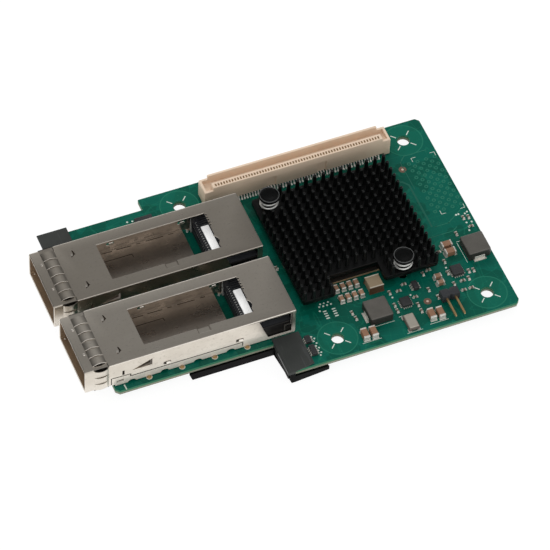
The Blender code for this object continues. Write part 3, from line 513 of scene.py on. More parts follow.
# A browner, darker nickel for the inside of the mouth: painted shade.
mouth_shaded_nickel = plain_finish("nickel_mouth_painted_shade", rgb(160, 137, 112), 0.4, 0.58, 0.6, 3.0)
# Dark steel put where shade falls: round the mouth under the collar's fingers, in cut lines, behind the slots
# and along the floor's seams; painted shade.
shade_steel = plain_finish("steel_painted_shade", rgb(52, 44, 38), 0.5, 0.6, 0.3, 6.0)


def arch(inset, bottom, radius=0.3):
    """Outline across the cage, square at the bottom and rounded at the two top folds."""
    left, right = inset, CAGE_WIDTH - inset
    centre_z = CAGE_TOP - inset - radius
    outline = [(left, bottom), (right, bottom)]
    outline += quarter(right - radius, centre_z, radius, 0, 4)
    outline += quarter(left + radius, centre_z, radius, 90, 4)
    return outline


def across(x, outline):
    """An outline of (y, z) points put at one x."""
    return [(x, y, z) for y, z in outline]


def window_outline(grow):
    """The window with its square notch, its toothed right edge and the round bite out of that."""
    left, right = WINDOW_X[0] - grow, WINDOW_X[1] + grow
    near, far = WINDOW_Y[0] - grow, WINDOW_Y[1] + grow
    notch_left, notch_right = NOTCH_X[0] - grow, NOTCH_X[1] + grow
    notch_near = NOTCH_Y - grow
    bite = [(right + 0.6 * math.sin(math.pi * step / 8), 4.8 + 2.7 * step / 8) for step in range(9)]
    teeth = []
    for step in range(5):
        start, end = 11.3 + 0.9 * step, 11.8 + 0.9 * step
        teeth += [(right, start), (right + 0.55, start), (right + 0.55, end), (right, end)]
    return [
        (left, near), (notch_left, near), (notch_left, notch_near), (notch_right, notch_near),
        (notch_right, near), (right, near), *bite, (right - 0.4, 7.7), (right - 0.35, 8.1), (right, 8.2),
        *teeth, (right, far), (left, far),
    ]


def wall_depths(depth):
    """For each of the two side walls, the levels of Y that a cut so deep from outside needs."""
    return (-1.0, depth), (CAGE_WIDTH - depth, CAGE_WIDTH + 1.0)


def mouth_outline(inset, radius):
    """Outline across the cage's mouth, at an inset from its outside."""
    return pad((inset, CAGE_WIDTH - inset), (MOUTH_BOTTOM + inset, CAGE_TOP - inset), radius)


for side, cage_y in CAGES:
    sheet = Sketch(cage_y)
    sheet.skin([
        across(-1.2, arch(0.0, 0.3)), across(CAGE_BACK - 0.25, arch(0.0, 0.3)),
        across(CAGE_BACK - 0.08, arch(0.07, 0.3, 0.25)), across(CAGE_BACK, arch(0.2, 0.3, 0.2)),
    ])
    cage = solid(f"{side}_cage", sheet, nickel)

    # The hollow's cut faces take the shaded nickel: painted shade inside the cage.
    hollow = Sketch(cage_y)
    hollow.skin([across(x, arch(SHEET, -1.0, 0.25)) for x in (-3.0, CAGE_BACK - SHEET)])
    carve(cage, hollow, shaded_nickel)
    openings = Sketch(cage_y)
    openings.box((-3.0, 0.3), (-1.0, 21.0), (-1.0, MOUTH_BOTTOM))
    openings.skin([
        above(8.0, window_outline(0.0)), above(9.2, window_outline(0.0)),
        above(9.31, window_outline(0.09)), above(10.0, window_outline(0.09)),
    ])
    carve(cage, openings)

    # Openings through the side walls: by the port connector, the louvre, slots and round feet
    walls = Sketch(cage_y)
    for low, high in wall_depths(SHEET + 0.01):
        walls.block(((43.0, 0.9), (49.5, 0.9), (49.5, 8.7), (40.2, 8.7)), low, high, "Y")
        walls.block(((4.8, 4.9), (10.5, 4.9), (10.5, 7.4)), low, high, "Y")
        walls.block(((2.25, 4.0), (2.85, 4.0), (2.85, 5.8), (2.25, 5.8)), low, high, "Y")
        walls.block(((0.7, 1.5), (2.7, 1.65), (2.7, 2.35), (0.7, 2.15)), low, high, "Y")
        for slot_x in SLOT_X:
            walls.block(pad((slot_x, slot_x + 2.1), (3.15, 4.25), 0.3), low, high, "Y")
        for foot_x in FOOT_X:
            turns = [math.pi * step / 10 for step in range(11)]
            scallop = [(foot_x + 1.15 * math.cos(turn), 0.2 + 0.9 * math.sin(turn)) for turn in turns]
            walls.block([(foot_x + 1.15, -0.5)] + scallop + [(foot_x - 1.15, -0.5)], low, high, "Y")
    carve(cage, walls)

    # The line where the lower pan's wall overlaps, and the two hooks cut through the top; the cut faces are
    # dark steel, painted shade.
    seam = (
        (-0.9, 0.6), (-0.65, 0.6), (-0.65, 3.6), (4.4, 3.4), (4.4, 2.5), (35.6, 2.3), (35.6, 1.0),
        (35.85, 1.0), (35.85, 2.6), (4.7, 2.8), (4.7, 3.68), (-0.9, 3.9),
    )
    lines = Sketch(cage_y)
    for low, high in wall_depths(0.2):
        lines.block(seam, low, high, "Y")
    for hook_y in HOOK_Y:
        lines.block((
            (2.75, hook_y + 1.1), (3.05, hook_y + 1.0), (3.4, hook_y - 0.3), (2.2, hook_y - 1.1),
            (2.0, hook_y - 0.8), (2.85, hook_y - 0.2),
        ), 8.0, 10.0)
    carve(cage, lines, shade_steel)
    install(cage, "nickel_sheet", f"{side}_cage_shell")

    # Parts of the same sheet pushed out of its plane, and the tails in the board's plated holes
    # Most of these are in bright nickel, painted highlights; the louvre's flap and the frames behind the
    # slots are painted shade.
    pressed = Sketch(cage_y)
    for hook_y in HOOK_Y:
        pressed.skin([
            [(1.95, hook_y - 0.7, z), (2.5, hook_y - 0.9, z), (2.7, hook_y - 0.2, z), (2.2, hook_y, z)]
            for z in (9.1, 9.42)
        ])
    for wall_y, out in ((0.0, -1), (CAGE_WIDTH, 1)):
        # The louvre's flap is in shaded nickel: painted shade.
        flap = [(4.9, 4.85, 0.0), (10.2, 4.85, 0.8), (10.2, 7.0, 0.8)]
        pressed.coat = 1
        pressed.skin([
            [(x, wall_y - out * (depth + sunk), z) for x, z, sunk in flap] for depth in (0.05, 0.25)
        ])
        pressed.coat = 0
        for slot_x in SLOT_X:
            bump = [(slot_x + step, wall_y, 3.68) for step in (0.75, 0.85, 1.75, 1.85)]
            pressed.tube(bump, 0.42, 12)
        clip = (
            (49.1, 8.6), (49.1, 4.3), (47.4, 4.3), (47.4, 2.0), (47.65, 2.0), (47.65, 4.05),
            (49.35, 4.05), (49.35, 8.6),
        )
        wall = sorted((wall_y - out * SHEET, wall_y))
        pressed.block(clip, *wall, "Y")
        for tail_x in TAIL_X:
            pressed.box(about(tail_x, 0.8), wall, (-2.75, 0.5))
    # Frames of dark steel behind the slots: painted shade.
    pressed.coat = 2
    for slot_x in SLOT_X:
        pressed.block(pad((slot_x - 0.1, slot_x + 2.2), (3.05, 4.35), 0.3), SHEET + 0.01, SHEET + 0.15, "Y")
    pressed.coat = 3
    pressed.box((24.3, 27.3), (1.95, 3.4), (8.85, 9.05))
    folded = solid(f"{side}_cage_pressings", pressed, highlight_nickel, shaded_nickel, shade_steel, nickel)
    install(folded, "nickel_sheet")

    # Thin bright tubes round the window and along the top folds: painted highlights on the edges.
    rim = Sketch(cage_y)
    rim.tube([(x, y, 9.2) for x, y in window_outline(0.03)], 0.085, 6, closed=True)
    for wall_y in (0.13, CAGE_WIDTH - 0.13):
        rim.tube([(x, wall_y, CAGE_TOP - 0.13) for x in (-1.15, CAGE_BACK - 0.2)], 0.115, 8)
    rim.tube([(CAGE_BACK - 0.14, y, CAGE_TOP - 0.12) for y in (0.2, CAGE_WIDTH - 0.2)], 0.11, 8)
    install(solid(f"{side}_window_rim", rim, highlight_nickel), "nickel_sheet")

    # The mouth's own tube and, round it, a dark steel sleeve that paints the shade of the gap, which show
    # between the collar's fingers; the tube's browner nickel is painted shade too.
    mouth = Sketch(cage_y)
    for coat, outside, inside in ((0, 0.4, 0.52), (1, 0.3, 0.39)):
        mouth.coat = coat
        outer, inner = mouth_outline(outside, 0.4), mouth_outline(inside, 0.3)
        mouth.skin([
            across(-7.8, outer), across(-0.8, outer), across(-0.8, inner), across(-7.8, inner)
        ], closed=True)
    mouth.coat = 2
    mouth.post(-6.7, 18.3, ((0.4, 1.3), (0.38, 1.46), (0.2, 1.58), (0.05, 1.6)), 14)
    install(solid(f"{side}_mouth", mouth, mouth_shaded_nickel, shade_steel, highlight_nickel), "nickel_sheet")


# Spring collars
#
# A strip of thin spring steel is folded round each cage's mouth and spot-welded to it. Its fingers
# arch outwards, six above, six below and three a side, to touch the chassis when the card goes in.

FINGER_X = (-5.45, -1.5)
SPRING_SHEET = 0.14


def finger_path(face, way, bulge):
    """Outline of one edge of an arched finger that starts level with a face and bulges one way."""
    path = [(-5.9, -0.05), (FINGER_X[0], -0.05)]
    for step in range(1, 14):
        share = step / 14
        x = FINGER_X[0] + (FINGER_X[1] - FINGER_X[0]) * share
        path.append((x, bulge * math.sin(math.pi * share) ** 0.75))
    path += [(FINGER_X[1], -0.02), (-1.25, -0.1)]
    outer = [(x, face + way * lift) for x, lift in path]
    inner = [(x, face + way * (lift - SPRING_SHEET)) for x, lift in path]
    return outer + inner[::-1]


RAISED_EDGE = 0.68
SUNK_EDGE = 0.44
TOP_FINGERS = [about(CAGE_WIDTH / 2 + 2.75 * (finger - 2.5), 2.68) for finger in range(6)]
SIDE_FINGERS = [about(5.05 + 2.6 * (finger - 1), 2.5) for finger in range(3)]

for side, cage_y in CAGES:
    band = Sketch(cage_y)
    folds = (
        (-5.4, 0.02), (-7.85, 0.0), (-8.0, 0.14), (-8.0, 0.36), (-7.88, 0.48), (-7.75, 0.48), (-7.75, 0.26),
        (-5.4, 0.26),
    )
    band.skin([
        across(x, mouth_outline(inset, max(0.12, 0.5 - inset))) for x, inset in folds
    ], closed=True)
    hem = ((-1.6, 0.02), (-1.2, 0.02), (-1.2, 0.2), (-1.6, 0.2))
    band.skin([across(x, mouth_outline(inset, 0.3)) for x, inset in hem], closed=True)
    rail_tops = (CAGE_TOP - 0.2, CAGE_TOP - 0.02)
    for width, lower, upper in ((1.4, (0.92, 1.1), rail_tops), (0.18, (0.92, 1.25), (8.92, rail_tops[1]))):
        for rail_y in ((0.02, 0.02 + width), (CAGE_WIDTH - 0.02 - width, CAGE_WIDTH - 0.02)):
            for rail_z in (lower, upper):
                band.box((-5.5, -1.4), rail_y, rail_z)
    for near_y, far_y in TOP_FINGERS:
        for face, way in ((CAGE_TOP, 1), (MOUTH_BOTTOM, -1)):
            band.skin([
                [(x, y, z) for x, z in finger_path(face, way, bulge)]
                for y, bulge in ((near_y, RAISED_EDGE), (far_y, SUNK_EDGE))
            ])
    for low_z, high_z in SIDE_FINGERS:
        for face, way in ((CAGE_WIDTH, 1), (0.0, -1)):
            band.skin([
                [(x, y, z) for x, y in finger_path(face, way, bulge)]
                for z, bulge in ((low_z, SUNK_EDGE), (high_z, RAISED_EDGE if way < 0 else 0.1))
            ])
    install(solid(f"{side}_collar", band, nickel), "nickel_sheet", f"{side}_cage_spring_collar")

    # Weld dimples, and thin bright tubes along each top finger's near edge as painted highlights.
    welds = Sketch(cage_y)
    for weld_y in (5.95, 14.45):
        welds.post(-6.05, weld_y, ((0.42, 9.25), (0.4, 9.32), (0.24, 9.42), (0.05, 9.44)), 14)
    crest = finger_path(CAGE_TOP, 1, RAISED_EDGE)[1:16]
    for near_y, _ in TOP_FINGERS:
        welds.tube([(x, near_y + 0.04, z - 0.07) for x, z in crest], 0.1, 6)
    install(solid(f"{side}_collar_edges", welds, highlight_nickel), "nickel_sheet")


# Cage floors, port connectors and films
#
# A module slides over the cage's sheet floor into a black moulded connector soldered to the board.
# It holds two rows of tinned spring contacts; a white pick-up film is left stuck on its top.

slate = Paint("port_plastic")
slate_grain = slate.noise(5.0, 3.0)
slate_color = slate.mix(rgb(42, 43, 46), rgb(58, 60, 63), slate_grain)
# Painted shade: the near face of each housing is painted near black.
place_in_cage = (slate.y - CAGES[0][1]) % (CAGES[1][1] - CAGES[0][1])
slate_color = slate.mix(slate_color, rgb(14, 12, 11), place_in_cage < 0.9)
slate_gloss = 0.42 + slate_grain * 0.12
socket_black = slate.coat(slate_color, slate_gloss, 0.0, slate_grain, 0.01, Specular_IOR_Level=0.3)
# The film glows faintly, painted light that keeps it white inside the cage.
film_white = plain_finish(
    "pickup_film", rgb(246, 246, 244), 0.5, 0.0, 0.04, 3.0, 0.01,
    Emission_Color=(1.0, 1.0, 1.0, 1.0), Emission_Strength=0.3,
)
contact_silver = plain_finish("tinned_contact", rgb(206, 206, 202), 0.35, 0.4, 0.15, 9.0, 0.004)
FLOOR_TOP = 1.2
FLOOR_LINE_Z = (FLOOR_TOP - 0.01, FLOOR_TOP + 0.02)
CONTACT_Y = [CAGE_WIDTH / 2 + 0.8 * (contact - 9) for contact in range(19)]
for side, cage_y in CAGES:
    floor = Sketch(cage_y)
    floor.box((-1.2, 34.9), (0.35, CAGE_WIDTH - 0.35), (MOUTH_BOTTOM, FLOOR_TOP))
    # Dark steel lines on the floor: painted shade along its seams.
    floor.coat = 1
    floor.ribbon(((9.0, 15.6), (19.5, 15.6), (19.7, 14.6)), 0.2, FLOOR_LINE_Z)
    for start, end in ((4.0, 7.2), (12.0, 15.0), (16.2, 20.4), (21.8, 23.0), (24.6, 29.5), (31.0, 32.4)):
        floor.ribbon(((start, 18.4), (end, 18.3)), 0.22, FLOOR_LINE_Z)
    sheet_floor = solid(f"{side}_floor_sheet", floor, shaded_nickel, shade_steel)
    install(sheet_floor, "nickel_sheet", f"{side}_cage_floor")
    hems = Sketch(cage_y)
    for start, end in ((-1.0, 8.8), (9.9, 18.0), (19.3, 27.2), (28.4, 34.8)):
        for hem_y in (0.4, CAGE_WIDTH - 0.4):
            hems.tube([(x, hem_y, 1.16) for x in (start, start + 0.5, end - 0.5, end)], 0.16, 6)
    install(solid(f"{side}_floor_hems", hems, shaded_nickel), "nickel_sheet")

    housing = Sketch(cage_y)
    housing.skin([
        across(x, pad((inset, CAGE_WIDTH - inset), (0.3, top), 0.15)) for x, inset, top in (
            (37.4, 0.65, 4.1), (37.55, 0.6, 4.45), (38.2, 0.6, 4.9), (49.5, 0.6, 4.9), (49.7, 0.75, 4.7)
        )
    ])
    port = solid(f"{side}_port", housing, socket_black)
    cuts = Sketch(cage_y)
    cuts.box((37.0, 44.0), (1.6, 17.7), (2.0, 3.3))
    carve(port, cuts)
    notches = Sketch(cage_y)
    for y in CONTACT_Y:
        notches.box((37.0, 38.55), about(y, 0.42), (4.2, 6.0))
        notches.box((37.0, 37.8), about(y, 0.42), (3.4, 3.85))
    for rib in range(4):
        notches.box((38.9, 49.0), about(15.9 + 0.72 * rib, 0.3), (4.35, 6.0))
    carve(port, notches)
    install(port, "black_plastic", f"{side}_port_connector")

    contacts = Sketch(cage_y)
    for y in CONTACT_Y:
        contacts.box((37.45, 37.8), about(y, 0.3), (3.4, 3.65))
        contacts.box((37.95, 38.5), about(y, 0.3), (4.2, 4.62))
        contacts.block(((49.6, 0.2), (50.15, 0.05), (50.15, 0.2), (49.6, 0.5)), *about(y, 0.3), "Y")
    contacts.skin([
        [(37.1, 17.6, 0.3), (37.42, 17.6, 0.3), (37.42, 18.6, 0.3), (37.1, 18.6, 0.3)],
        [(37.25, 18.4, 5.1), (37.4, 18.4, 5.1), (37.4, 18.6, 5.1), (37.25, 18.6, 5.1)],
    ])
    contacts.post(36.4, 18.4, ((0.35, 0.0), (0.35, 0.1), (0.2, 0.28), (0.05, 0.3)), 14)
    install(solid(f"{side}_port_contacts", contacts, contact_silver), "tinned_lead")

    sticker = Sketch(cage_y)
    sticker.pillow((38.75, 40.9), (2.2, 14.7), (4.95, 5.4), 0.12)
    install(solid(f"{side}_film", sticker, film_white), "white_film", f"{side}_port_film")


# Board-to-board connector
#
# A long housing moulded in cream high-temperature plastic, with a slot along it for the mating half.
# Of its two rows of gilt blades, the near row is drawn lining the slot; tinned gull-wing feet on both sides
# are soldered to the board.

cream = Paint("cream_plastic")
cream_clouds = cream.noise(0.18, 3.0)
cream_flow = cream.noise(1.4, 3.0, (0.3, 1.0, 1.0))
cream_color = cream.mix(rgb(234, 212, 188), rgb(222, 198, 174), cream_clouds)
cream_color = cream.mix(cream_color, rgb(204, 180, 158), cream_flow * 0.3)
cream_finish = cream.coat(cream_color, 0.42 + (cream_flow - 0.5) * 0.16, 0.0, cream_flow, 0.012)


def soften(piece, width, segments=2):
    """Round every sharp edge of a piece over a width."""
    modifier = piece.modifiers.new("soften", "BEVEL")
    modifier.width = width * MM
    modifier.segments = segments
    modifier.limit_method = "ANGLE"
    modifier.angle_limit = math.radians(40)
    settle(piece)


def outward(middle, way, start, end):
    """The range between two distances from a middle, on one side of it."""
    return sorted((middle + way * start, middle + way * end))


LINK_X = (43.75, 97.7)
LINK_Y = (58.95, 63.95)
RAISED_X = (46.15, 95.3)
bar = Sketch()
bar.block((
    (LINK_X[0], 0.3), (LINK_X[0], 6.1), (RAISED_X[0], 6.1), (RAISED_X[0], 7.4), (RAISED_X[1], 7.4),
    (RAISED_X[1], 6.1), (LINK_X[1], 6.1), (LINK_X[1], 0.3), (96.1, 0.3), (96.1, 1.0), (45.35, 1.0),
    (45.35, 0.3),
), *LINK_Y, "Y")
link = solid("link_connector", bar, cream_finish)
soften(link, 0.14)
slot = Sketch()
slot.block((
    (44.4, 59.6), (46.15, 59.6), (46.15, 60.8), (95.3, 60.8), (95.3, 59.6), (97.05, 59.6),
    (97.05, 63.3), (44.4, 63.3),
), 4.6, 9.0)
carve(link, slot)
details = Sketch()
BLADE_X = [47.125 + 0.8 * step for step in range(60)]
for x in BLADE_X:
    details.box(about(x, 0.46), (59.35, 60.3), (6.2, 9.0))
for recess_x in ((61.7, 64.4), (76.3, 79.0)):
    details.box(recess_x, (58.0, 59.45), (0.0, 4.9))
carve(link, details)
install(link, "cream_plastic", "board_connector")

gilt = plain_finish("gilt_blades", rgb(176, 146, 102), 0.36, 0.7, 0.2, 9.0, 0.003)
blades = Sketch()
for x in BLADE_X:
    blades.box(about(x, 0.34), (59.5, 60.22), (6.0, 7.05))
install(solid("link_blades", blades, gilt), "gold_plate")

foot_solder = plain_finish("foot_solder", rgb(226, 224, 218), 0.4, 0.45, 0.12, 6.0, 0.01)
FOOT_PROFILE = (
    (-0.9, 0.95), (0.2, 0.95), (0.4, 0.3), (0.8, 0.2), (0.8, 0.02), (0.3, 0.02), (0.05, 0.75), (-0.9, 0.75),
)
for name, face, out, node in (
    ("link_near_feet", LINK_Y[0], -1, "connector_front_leads"),
    ("link_far_feet", LINK_Y[1], 1, "connector_rear_leads"),
):
    feet = Sketch()
    for x in BLADE_X:
        feet.block([(face + out * reach, z) for reach, z in FOOT_PROFILE], *about(x, 0.34), "X")
        feet.pillow(about(x, 0.5), outward(face, out, 0.2, 0.9), (-0.03, 0.3), 0.14)
    install(solid(name, feet, foot_solder), "tinned_lead", node)


# Controller package
#
# The network controller: a laminate square on solder balls, with a nickel-plated copper lid glued
# over its die. Only the laminate's edge shows, in the heat sink's notch.

laminate = Paint("package_laminate")
laminate_grain = laminate.noise(4.0, 3.0)
laminate_color = laminate.mix(rgb(172, 144, 112), rgb(16, 15, 14), laminate.z > 0.95)
laminate_color = laminate.mix(laminate_color, rgb(60, 48, 36), laminate_grain * 0.3)
package_finish = laminate.coat(laminate_color, 0.45 + laminate_grain * 0.15, 0.0, laminate_grain, 0.01)
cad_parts["controller_package"].material_slots[0].material = package_finish
lid_finish = plain_finish("package_lid", rgb(190, 186, 180), 0.35, 1.0, 0.15, 5.0)
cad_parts["controller_lid"].material_slots[0].material = lid_finish


# Heat sink
#
# Die-cast aluminium, black anodised: a flat base with rounded corners and a notch that clears the
# tall capacitor, and sixteen rows of tapered round pins, left out round the two push pins.

anodised = Paint("black_anodised")
cast = anodised.noise(3.2, 4.0)
dust = anodised.noise(0.5, 3.0)
black = anodised.mix(rgb(3, 4, 4), rgb(11, 13, 13), cast * 0.6 + dust * 0.4)
# Painted shade: the base and the pins' roots, below 4.3 mm, are darker.
black = anodised.mix(black, rgb(1, 1, 1), (anodised.z < 4.3) * 0.7)
cast_gloss = 0.36 + (cast - 0.5) * 0.2
anodised_finish = anodised.coat(black, cast_gloss, 0.0, cast, 0.015, Specular_IOR_Level=0.3)

SINK_X = (54.9, 93.8)
SINK_Y = (17.05, 54.0)
SINK_CORNER = 0.9
SINK_NOTCH = (64.4, 78.3)
SINK_NOTCH_Y = 22.9
SINK_BASE_Z = (2.7, 4.2)
PUSH_PINS = (("left", 58.95, 51.0), ("right", 84.4, 19.5))

left, right = SINK_X[0] + SINK_CORNER, SINK_X[1] - SINK_CORNER
near, far = SINK_Y[0] + SINK_CORNER, SINK_Y[1] - SINK_CORNER
sink_outline = []
for x, y, start in ((left, near, 180), (SINK_NOTCH[0] - SINK_CORNER, near, 270)):
    sink_outline += quarter(x, y, SINK_CORNER, start, 5)
sink_outline += [(x, SINK_NOTCH_Y) for x in SINK_NOTCH]
for x, y, start in (
    (SINK_NOTCH[1] + SINK_CORNER, near, 180), (right, near, 270), (right, far, 0), (left, far, 90)
):
    sink_outline += quarter(x, y, SINK_CORNER, start, 5)
plate = Sketch()
plate.block(sink_outline, *SINK_BASE_Z)
sink = solid("sink_base", plate, anodised_finish)
bores = Sketch()
for _, x, y in PUSH_PINS:
    bores.post(x, y, ((1.2, 2.0), (1.2, 5.0)), 28)
carve(sink, bores)
soften(sink, 0.22)
install(sink, "black_anodised", "heat_sink")

FIN_ROWS = 16
FIN_INSET = 0.62
FIN_PROFILE = (
    (0.62, 3.9), (0.66, 4.2), (0.59, 4.4), (0.49, 7.2), (0.46, 7.45), (0.38, 7.61), (0.24, 7.69), (0.06, 7.7),
)
fin_x, fin_y = [
    [low + FIN_INSET + (high - low - 2 * FIN_INSET) / (FIN_ROWS - 1) * row for row in range(FIN_ROWS)]
    for low, high in (SINK_X, SINK_Y)
]
field = Sketch()
for x in fin_x:
    for y in fin_y:
        by_push_pin = any(abs(x - pin_x) < 3.6 and abs(y - pin_y) < 3.2 for _, pin_x, pin_y in PUSH_PINS)
        over_notch = SINK_NOTCH[0] - 0.6 < x < SINK_NOTCH[1] + 0.6 and y < SINK_NOTCH_Y + 0.6
        if not by_push_pin and not over_notch:
            field.post(x, y, FIN_PROFILE, 14)
install(solid("sink_pins", field, anodised_finish), "black_anodised")


# Push pins and their springs
#
# Two black nylon pins snap into the board and hold the heat sink down, each through a coil of plated
# spring wire between the sink's base and the pin's broad flat head.

nylon = Paint("black_nylon")
nylon_grain = nylon.noise(2.5, 4.0)
nylon_color = nylon.mix(rgb(2, 3, 3), rgb(9, 10, 10), nylon_grain)
nylon_gloss = 0.22 + nylon_grain * 0.14
nylon_finish = nylon.coat(nylon_color, nylon_gloss, 0.0, nylon_grain, 0.01, Specular_IOR_Level=0.14)
# The thin ring round each pin head is lighter grey: a painted highlight on the rim.
rim_highlight = plain_finish("pin_rim_painted_highlight", rgb(132, 134, 134), 0.3, 0.5, 0.2, 6.0)
spring_finish = plain_finish("spring_wire", rgb(222, 222, 218), 0.32, 0.6, 0.15, 9.0, 0.003)
PIN_PROFILE = (
    (0.4, -3.35), (0.95, -2.6), (1.1, -2.3), (1.1, -1.95), (0.7, -1.87), (0.7, 2.6), (0.9, 2.8), (0.9, 7.3),
    (1.6, 7.45), (2.75, 7.5), (2.88, 7.62), (2.9, 7.8), (2.88, 8.1), (2.78, 8.24), (2.6, 8.3), (2.42, 8.26),
    (2.3, 8.14), (2.2, 8.06), (1.3, 8.02), (1.15, 7.98), (0.1, 7.96),
)
PIN_RIM = 2.6
COIL_RADIUS = 2.3
COIL_Z = (4.5, 7.1)
COIL_STEPS = 48
for side, x, y in PUSH_PINS:
    pin = Sketch()
    pin.post(x, y, PIN_PROFILE, 40)
    pin.coat = 1
    pin.tube(above(8.25, circle(x, y, PIN_RIM, 40)), 0.07, 6, closed=True)
    install(solid(f"{side}_pin", pin, nylon_finish, rim_highlight), "black_plastic", f"{side}_push_pin")
    coil = Sketch()
    path = []
    for step in range(113):
        turn = 2 * math.pi * step / COIL_STEPS
        z = COIL_Z[0] + (COIL_Z[1] - COIL_Z[0]) * min(1.0, max(0.0, (step - 12) / 88))
        path.append((x + COIL_RADIUS * math.cos(turn), y + COIL_RADIUS * math.sin(turn), z))
    coil.tube(path, 0.28, 10)
    install(solid(f"{side}_coil", coil, spring_finish), "spring_steel", f"{side}_push_pin_spring")


# Insulating tray
#
# Black polycarbonate sheet, die-cut and folded to stand under the board and keep its solder side
# from the chassis. Flaps come up round two of the board's edges and lie on its top.

film = Paint("black_sheet")
haze = film.noise(0.25, 3.0)
texture = film.noise(7.0, 2.0)
scratch = film.rise(film.noise(1.1, 2.0, (1.0, 0.08, 1.0)), 0.64, 0.7)
sheet_color = film.mix(rgb(52, 54, 53), rgb(69, 71, 69), haze * 0.6 + texture * 0.4)
sheet_color = film.mix(sheet_color, rgb(92, 94, 96), scratch * 0.2)
# Painted shade: below the board the sheet is painted near black.
skirt = film.z < -0.4
sheet_color = film.mix(sheet_color, rgb(8, 8, 8), skirt)
sheet_gloss = 0.4 + (haze - 0.5) * 0.2 + (texture - 0.5) * 0.15 + skirt * 0.3
film_finish = film.coat(sheet_color, sheet_gloss, 0.0, texture, 0.01, Specular_IOR_Level=0.08)
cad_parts["insulator_tray"].material_slots[0].material = film_finish
creases = Sketch()
creases.tube([(43.85, y, 0.42) for y in (-0.5, 2.0, 4.5, 7.0, 9.5, 11.2)], 0.17, 8)
creases.tube([(x, -0.42, 0.42) for x in (43.8, 44.4, 45.5)], 0.17, 8)
creases.tube([(x, 65.35, 0.42) for x in (2.6, 4.0, 5.3, 6.5)], 0.17, 8)
creases.tube([(x, 9.65, -3.85) for x in (21.0, 28.0, 36.0, 43.6)], 0.17, 8)
# A flat black sheet under the board's near edge fills the shade there: painted shade.
creases.box((45.6, 55.1), (-0.4, 2.2), (-2.0, -1.75))
creases.box((43.6, 43.74), (-0.45, 9.7), (-1.9, 0.45))
install(solid("tray_folds", creases, film_finish), "insulator")


# Ceramic capacitors
#
# Fired blocks of barium titanate with a silvered, tinned cap on either end. Each sits on two tinned
# pads, with a fillet of solder drawn up against each cap.

ceramic_tan = plain_finish("ceramic_tan", rgb(150, 116, 92), 0.5, 0.0, 0.18, 5.0, 0.01)
ceramic_brown = plain_finish("ceramic_brown", rgb(138, 102, 78), 0.5, 0.0, 0.2, 5.0, 0.01)
ceramic_sand = plain_finish("ceramic_sand", rgb(134, 118, 94), 0.5, 0.0, 0.2, 5.0, 0.01)
# The bulk capacitor's caps are brown, with their tops painted pale: a painted highlight from above.
cap_paint = Paint("cap_painted_top_light")
cap_paint_grain = cap_paint.noise(4.0, 3.0)
cap_paint_color = cap_paint.mix(rgb(92, 64, 44), rgb(196, 188, 172), cap_paint.z > 2.42)
cap_paint_color = cap_paint.mix(cap_paint_color, rgb(70, 52, 38), cap_paint_grain * 0.3)
cap_brown = cap_paint.coat(cap_paint_color, 0.42, 0.1, cap_paint_grain, 0.01)
ceramic_grey = plain_finish("ceramic_grey", rgb(104, 94, 80), 0.5, 0.0, 0.2, 5.0, 0.01)
solder = plain_finish("solder", rgb(216, 212, 204), 0.42, 0.55, 0.18, 4.0, 0.02)


def draw_chip(sketch, x, y, width, depth, top, cap_share, upright):
    """Ceramic block with capped ends; upright parts have their caps at the low and high Y."""
    long, short = (depth, width) if upright else (width, depth)
    radius = min(0.16, short * 0.14, top * 0.2)

    def put(kind, along, sideways, z, *more):
        ranges = (about(x, sideways), (y + along[0], y + along[1]))
        if not upright:
            ranges = ((x + along[0], x + along[1]), about(y, sideways))
        getattr(sketch, kind)(*ranges, z, *more)

    cap = long * cap_share
    end = long / 2
    sketch.coat = 0
    put("pillow", about(0.0, long - cap), short * 0.94, (0.08, top * 0.97), radius)
    sketch.coat = 1
    for sign in (-1, 1):
        put("pillow", outward(0.0, sign, end - cap, end), short, (0.05, top), radius)
        put("box", outward(0.0, sign, end - cap, end + 0.24), short + 0.1, (-0.02, 0.04))
        steps = ((0.18, 0.04), (0.1, top * 0.12), (0.05, top * 0.24), (0.0, top * 0.4))
        rings = []
        for reach, height in steps:
            spread = short / 2 * (1.05 - height / top * 0.3)
            edge_at = sign * (end + reach)
            root = sign * (end - 0.05)
            corners = ((edge_at, -spread), (edge_at, spread), (root, spread), (root, -spread))
            if upright:
                rings.append([(x + b, y + a, height) for a, b in corners])
            else:
                rings.append([(x + a, y + b, height) for a, b in corners])
        sketch.skin(rings)


CERAMICS = [("bulk_capacitor", 75.7, 18.3, 4.1, 4.0, 2.6, 0.08, True)]
for index, (x, y) in enumerate(((67.1, 4.0), (69.5, 3.9), (86.1, 3.9), (88.5, 3.6))):
    CERAMICS.append((f"large_capacitor_{index + 1}", x, y, 1.75, 3.25, 1.7, 0.16, True))
for index, (x, y) in enumerate(((99.1, 23.9), (99.1, 21.4))):
    CERAMICS.append((f"large_capacitor_{index + 5}", x, y, 3.0, 1.8, 1.7, 0.16, False))
for index, (x, y) in enumerate(((92.7, 15.1), (92.6, 12.9))):
    CERAMICS.append((f"medium_capacitor_{index + 1}", x, y, 2.1, 1.3, 1.3, 0.2, False))
for index in range(8):
    x, y = 65.95 + 1.9 * (index % 4), (20.8, 17.1)[index // 4]
    CERAMICS.append((f"chip_capacitor_{index + 1}", x, y, 1.25, 2.1, 1.2, 0.2, True))
for name, *sizes in CERAMICS:
    chip = Sketch()
    draw_chip(chip, *sizes)
    body_finish = {"bulk": ceramic_sand, "large": ceramic_brown}.get(name.split("_")[0], ceramic_tan)
    cap_finish = cap_brown if name == "bulk_capacitor" else solder
    install(solid(name + "_body", chip, body_finish, cap_finish), "ceramic", name)

